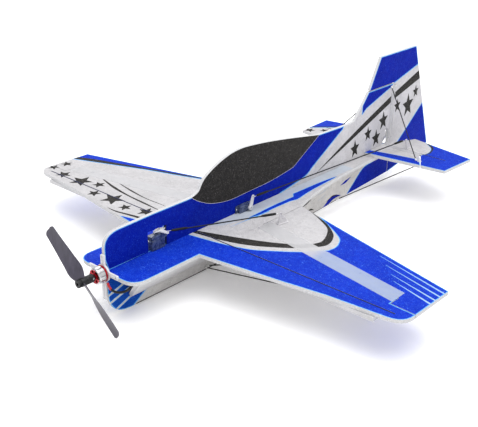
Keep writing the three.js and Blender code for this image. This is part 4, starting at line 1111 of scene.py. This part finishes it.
def aileron_linkages():
    arm, back, tilt = math.radians(SWEEP), aileron_hinge_y(AILERON_HORN_X), HINGE_ANGLE
    out = AILERON_HORN_X + AILERON_HORN_BACK * math.sin(tilt) + WIRE_OUT
    back += AILERON_HORN_BACK * math.cos(tilt) + WIRE_BACK
    for side, s in SIDES:
        x, y, z = AILERON_SERVO
        pin = (x + s * AILERON_ARM * math.cos(arm), y + AILERON_ARM * math.sin(arm), z)
        aside = (-s * WIRE_STAND * math.cos(tilt), WIRE_STAND * math.sin(tilt), 0)
        hole = (s * out, back, AILERON_HORN_UP)
        body = f"aileron_rod_{side}_body"
        linkage(f"aileron_pushrod_{side}", body, pin, (0, 0, WIRE_STAND), hole, aside)


def tail_linkages():
    x, y, z = ELEVATOR_SERVO
    pin = (x, y + ELEVATOR_BACK, z + ELEVATOR_UP)
    hole = (ELEVATOR_HORN_X, ELEVATOR_HINGE_Y + ELEVATOR_BACK, STAB_TOP + ELEVATOR_UP)
    linkage("elevator_pushrod", "elevator_rod_body", pin, (WIRE_STAND, 0, 0), hole, (-WIRE_STAND, 0, 0))
    x, y, z = RUDDER_SERVO
    pin = (x - RUDDER_OUT, y + RUDDER_BACK, z)
    hole = (FIN_SIDE - RUDDER_OUT, RUDDER_HINGE_Y + RUDDER_BACK, RUDDER_HORN_Z)
    linkage("rudder_pushrod", "rudder_rod_body", pin, (0, 0, WIRE_STAND), hole, (0, 0, WIRE_STAND))


all_horns()
aileron_linkages()
tail_linkages()


# ---------------------------------------------------------------- bracing, strips and plain foam

BRACES = {
    "fin_brace": ((4.2, 549, 125), (103, 500, 7.7)),
    "stab_brace": ((4.4, 384, -66.5), (106, 500, -1.1)),
    "wing_brace_front": ((4.4, 20, -73), (250, -6, -13.7)),
    "wing_brace_rear": ((4.4, 24, -71), (190, 52, -7.4)),
}
GLUE_DROP = ((-0.6, 0.7), (0.4, 1.7), (1.6, 2.0), (3.0, 1.5), (4.6, 0.95), (5.2, 0.83))


def brace(name, inner, outer, side):
    a = Vector((side * inner[0], *inner[1:]))
    b = Vector((side * outer[0], *outer[1:]))
    bm = bmesh.new()
    add_tube(bm, [a + (b - a) * t for t in np.linspace(0, 1, 9)], 0.95, 14)
    make(name + "_rod", bm, [CARBON], "airframe", [name])
    bm = bmesh.new()
    way = (b - a).normalized()
    add_profile(bm, a, way, GLUE_DROP, 14)
    add_profile(bm, b, -way, GLUE_DROP, 14)
    make(name + "_glue", bm, [GLUE], "airframe")


def dressed(material, *names):
    """Gives carried-over CAD nodes a finished material."""
    for name in names:
        for slot in NODES[name].material_slots:
            slot.material = material


for stem, (inner, outer) in BRACES.items():
    for side, s in SIDES:
        brace(f"{stem}_{side}", inner, outer, s)
dressed(SPAR_DARK, "wing_spar", "elevator_strip")
dressed(CARBON, "keel_strip")
dressed(PLAIN_FOAM, "side_panel_left", "side_panel_right", "wing_doubler_left", "wing_doubler_right")


# ---------------------------------------------------------------- hinge tapes

TAPE_LIFT = 0.10
TAPE_THICK = 0.10
TAPE_HALF = 16.0
TAPE_ENDS = (66.5, 357.5)
TAPE_LONG, TAPE_CROSS = 60, 24  # faces along and across a tape
BEND = 1.2  # half the width across the hinge between two points that are worked out but not used: the tape stays flat


def tape_strip(name, replaced, corners, hinge, across, to_row):
    """A thin strip over a hinge. corners are the ends of its long edges, (front a, front b, back a, back b),
    and hinge and across, a point of the hinge line and the way over it, are not used: the two points made
    from them are dropped."""
    front_a, front_b, back_a, back_b = (np.array(p, float) for p in corners)
    bm = bmesh.new()
    grids = []
    for lift in (TAPE_LIFT, TAPE_LIFT + TAPE_THICK):
        grid = []
        for s in np.linspace(0, 1, TAPE_LONG + 1):
            front = front_a + (front_b - front_a) * s
            back = back_a + (back_b - back_a) * s
            line = [to_row(front + (back - front) * t, lift) for t in np.linspace(0, 1, TAPE_CROSS + 1)]
            grid.append([bm.verts.new(p) for p in line])
        grids.append(grid)
    skin_of_strip(bm, *grids)
    bmesh.ops.recalc_face_normals(bm, faces=bm.faces)
    piece = link(name, mesh_of(name, bm), [TAPE])
    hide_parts(replaced)
    start, end = (to_row(np.array(hinge) + np.array(across) * way, 0) for way in (-BEND, BEND))
    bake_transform(piece)


def skin_of_strip(bm, low, high):
    """Faces over and under two grids of vertices, and round their edge."""
    for i in range(TAPE_LONG):
        for k in range(TAPE_CROSS):
            bm.faces.new((high[i][k], high[i + 1][k], high[i + 1][k + 1], high[i][k + 1]))
            bm.faces.new((low[i][k], low[i][k + 1], low[i + 1][k + 1], low[i + 1][k]))
    rim = [(i, 0) for i in range(TAPE_LONG)] + [(TAPE_LONG, k) for k in range(TAPE_CROSS)]
    rim += [(i, TAPE_CROSS) for i in range(TAPE_LONG, 0, -1)] + [(0, k) for k in range(TAPE_CROSS, 0, -1)]
    for (i, k), (m, n) in zip(rim, rim[1:] + rim[:1]):
        bm.faces.new((low[i][k], low[m][n], high[m][n], high[i][k]))


def aileron_tape(side, s):
    """Its long edges run along the hinge, and its ends straight back."""
    normal = (math.sin(HINGE_ANGLE), math.cos(HINGE_ANGLE))
    half = TAPE_HALF / math.cos(HINGE_ANGLE)
    corners = [(x, aileron_hinge_y(x) + back) for back in (-half, half) for x in TAPE_ENDS]
    name = f"aileron_tape_{side}"
    tape_strip(name + "_strip", name, corners, (200, aileron_hinge_y(200)), normal,
               lambda p, lift: row(s * p[0], p[1], lift))


def elevator_tape(side, s):
    corners = [(3.6, 530), (88, 530), (9.5, 544), (88, 544)]
    name = f"elevator_tape_{side}"
    tape_strip(name + "_strip", name, corners, (50, ELEVATOR_HINGE_Y), (0, 1),
               lambda p, lift: row(s * p[0], p[1], STAB_TOP + lift))


def rudder_tape():
    corners = [(15, 553), (126, 553), (15, 567), (126, 567)]
    tape_strip("rudder_tape_strip", "rudder_tape", corners, (70, RUDDER_HINGE_Y), (0, 1),
               lambda p, lift: row(FIN_SIDE + lift, p[1], p[0]))


def brace_patch(side, s):
    """A small clear patch over the end of a stabilizer brace."""
    outline = [(s * x, y) for x, y in ((107, 499), (113, 504), (87, 536), (81, 532))]
    bm = bmesh.new()
    add_plate(bm, [outline[::s]], [], STAB_TOP + 0.1, STAB_TOP + 0.22)
    make(f"brace_patch_{side}", bm, [TAPE], "airframe")


for maker in (aileron_tape, elevator_tape):
    for side, s in SIDES:
        maker(side, s)
rudder_tape()
for side, s in SIDES:
    brace_patch(side, s)


# ---------------------------------------------------------------- electronics inside the nose duct

CONTROLLER = ((3.6, -141.5, -31), (10.1, -106, -9))
RECEIVER = ((3.6, -70, -30), (11.6, -38, -10))
BATTERY = ((-15.1, -121, -38), (-3.6, -63, -8))
STRAP = ((-15.9, -101, -38.8), (-3.5, -84, -7.2))


def speed_controller():
    bm = bmesh.new()
    add_box(bm, *CONTROLLER)
    for i in range(5):
        add_box(bm, (10.0, -136 + i * 5.4, -28), (10.9, -133.4 + i * 5.4, -12))
    upright = at(7, -103.6, -26) @ turned(-90, "X")
    add_lathe(bm, [(0, -3), (2.6, -3), (2.6, 3.2), (2.2, 3.6), (0, 3.6)], upright, 20, 1)
    inks = [WRAP_DARK, SILICONE]
    make("speed_controller_wrapped", bm, inks, "airframe", ["speed_controller"], 0.9)


def receiver():
    bm = bmesh.new()
    add_box(bm, *RECEIVER)
    for i in range(5):
        for k in range(3):
            x, z = 5.2 + k * 2.2, -27.5 + i * 3.6
            add_box(bm, (x, -38.2, z), (x + 0.6, -35.6, z + 0.6), DATUM, 1)
    make("receiver_case", bm, [CASE_GREY, BRASS], "airframe", ["receiver"], 0.25)


def battery():
    bm = bmesh.new()
    add_box(bm, *BATTERY)
    make("battery_pack", bm, [WRAP_SILVER], "airframe", ["battery"], 2.2, 4)
    bm = bmesh.new()
    add_box(bm, *STRAP)
    make("battery_strap", bm, [SILICONE], "airframe", (), 1.2, 3)
    bm = bmesh.new()
    for k in (0, 1):
        out = -8 - 3 * k
        run = [(out, -121, -16), (out - 0.5, -127, -16.5), (out, -134 - k, -19), (-5.2, -138.5 - 3 * k, -22),
               (-2.6, -139 - 3 * k, -22.5)]
        add_tube(bm, smooth_3d(run), 1.2, 10, k)
    make("battery_leads", bm, [RED_SHRINK, SILICONE], "airframe")


speed_controller()
receiver()
battery()


# ---------------------------------------------------------------- camera, light and floor

AZIMUTH, ELEVATION, ROLL = map(math.radians, (41.887, 24.501, 0.518))
EYE = (890.1, -886.4, 602.5)
LENS = 65.17
FLOOR_HALF = 30.0


def placed(name, data):
    made = bpy.data.objects.new(name, data)
    bpy.context.scene.collection.objects.link(made)
    return made


def camera():
    level = math.cos(ELEVATION)
    back = Vector((math.sin(AZIMUTH) * level, -math.cos(AZIMUTH) * level, math.sin(ELEVATION)))
    right = Vector((math.cos(AZIMUTH), math.sin(AZIMUTH), 0))
    up = back.cross(right)
    rolled = right * math.cos(ROLL) + up * math.sin(ROLL)
    upright = up * math.cos(ROLL) - right * math.sin(ROLL)
    data = bpy.data.cameras.new("camera")
    data.lens = LENS
    data.sensor_width = 36
    data.clip_end = 50
    made = placed("camera", data)
    made.matrix_world = Matrix.Translation(row(*EYE)) @ Matrix((rolled, upright, back)).transposed().to_4x4()
    bpy.context.scene.camera = made


def lamp(name, place, target, size, power):
    data = bpy.data.lights.new(name, "AREA")
    data.size = size
    data.energy = power
    made = placed(name, data)
    made.location = place
    made.rotation_euler = (Vector(target) - Vector(place)).to_track_quat("-Z", "Y").to_euler()


def floor():
    g = Graph("floor", Roughness=0.9, Specular_IOR_Level=0.1, Emission_Strength=0.13)
    g.feed(g.shader["Emission Color"], (1.0, 0.98, 0.95))
    g.feed(g.shader["Base Color"], g.mix(g.noise(3.0, 2.0), (0.93, 0.93, 0.935), (0.95, 0.95, 0.955)))
    mesh = bpy.data.meshes.new("floor")
    corners = rectangle(-FLOOR_HALF, FLOOR_HALF, -FLOOR_HALF, FLOOR_HALF)
    mesh.from_pydata([(*p, 0) for p in corners], [], [range(4)])
    link("floor", mesh, [g.material])


def studio():
    world = bpy.data.worlds.new("studio")
    world.use_nodes = True
    sky = world.node_tree.nodes["Background"].inputs
    sky["Color"].default_value = (1.0, 1.0, 1.0, 1.0)
    sky["Strength"].default_value = 0.98
    bpy.context.scene.world = world
    lamp("key", (0.5, -0.3, 2.4), (0, 0, 0), 2.2, 46)
    lamp("fill", (-1.4, 1.4, 1.6), (0, 0, 0.1), 1.6, 14)
    bpy.context.scene.view_settings.view_transform = "Standard"


camera()
floor()
studio()
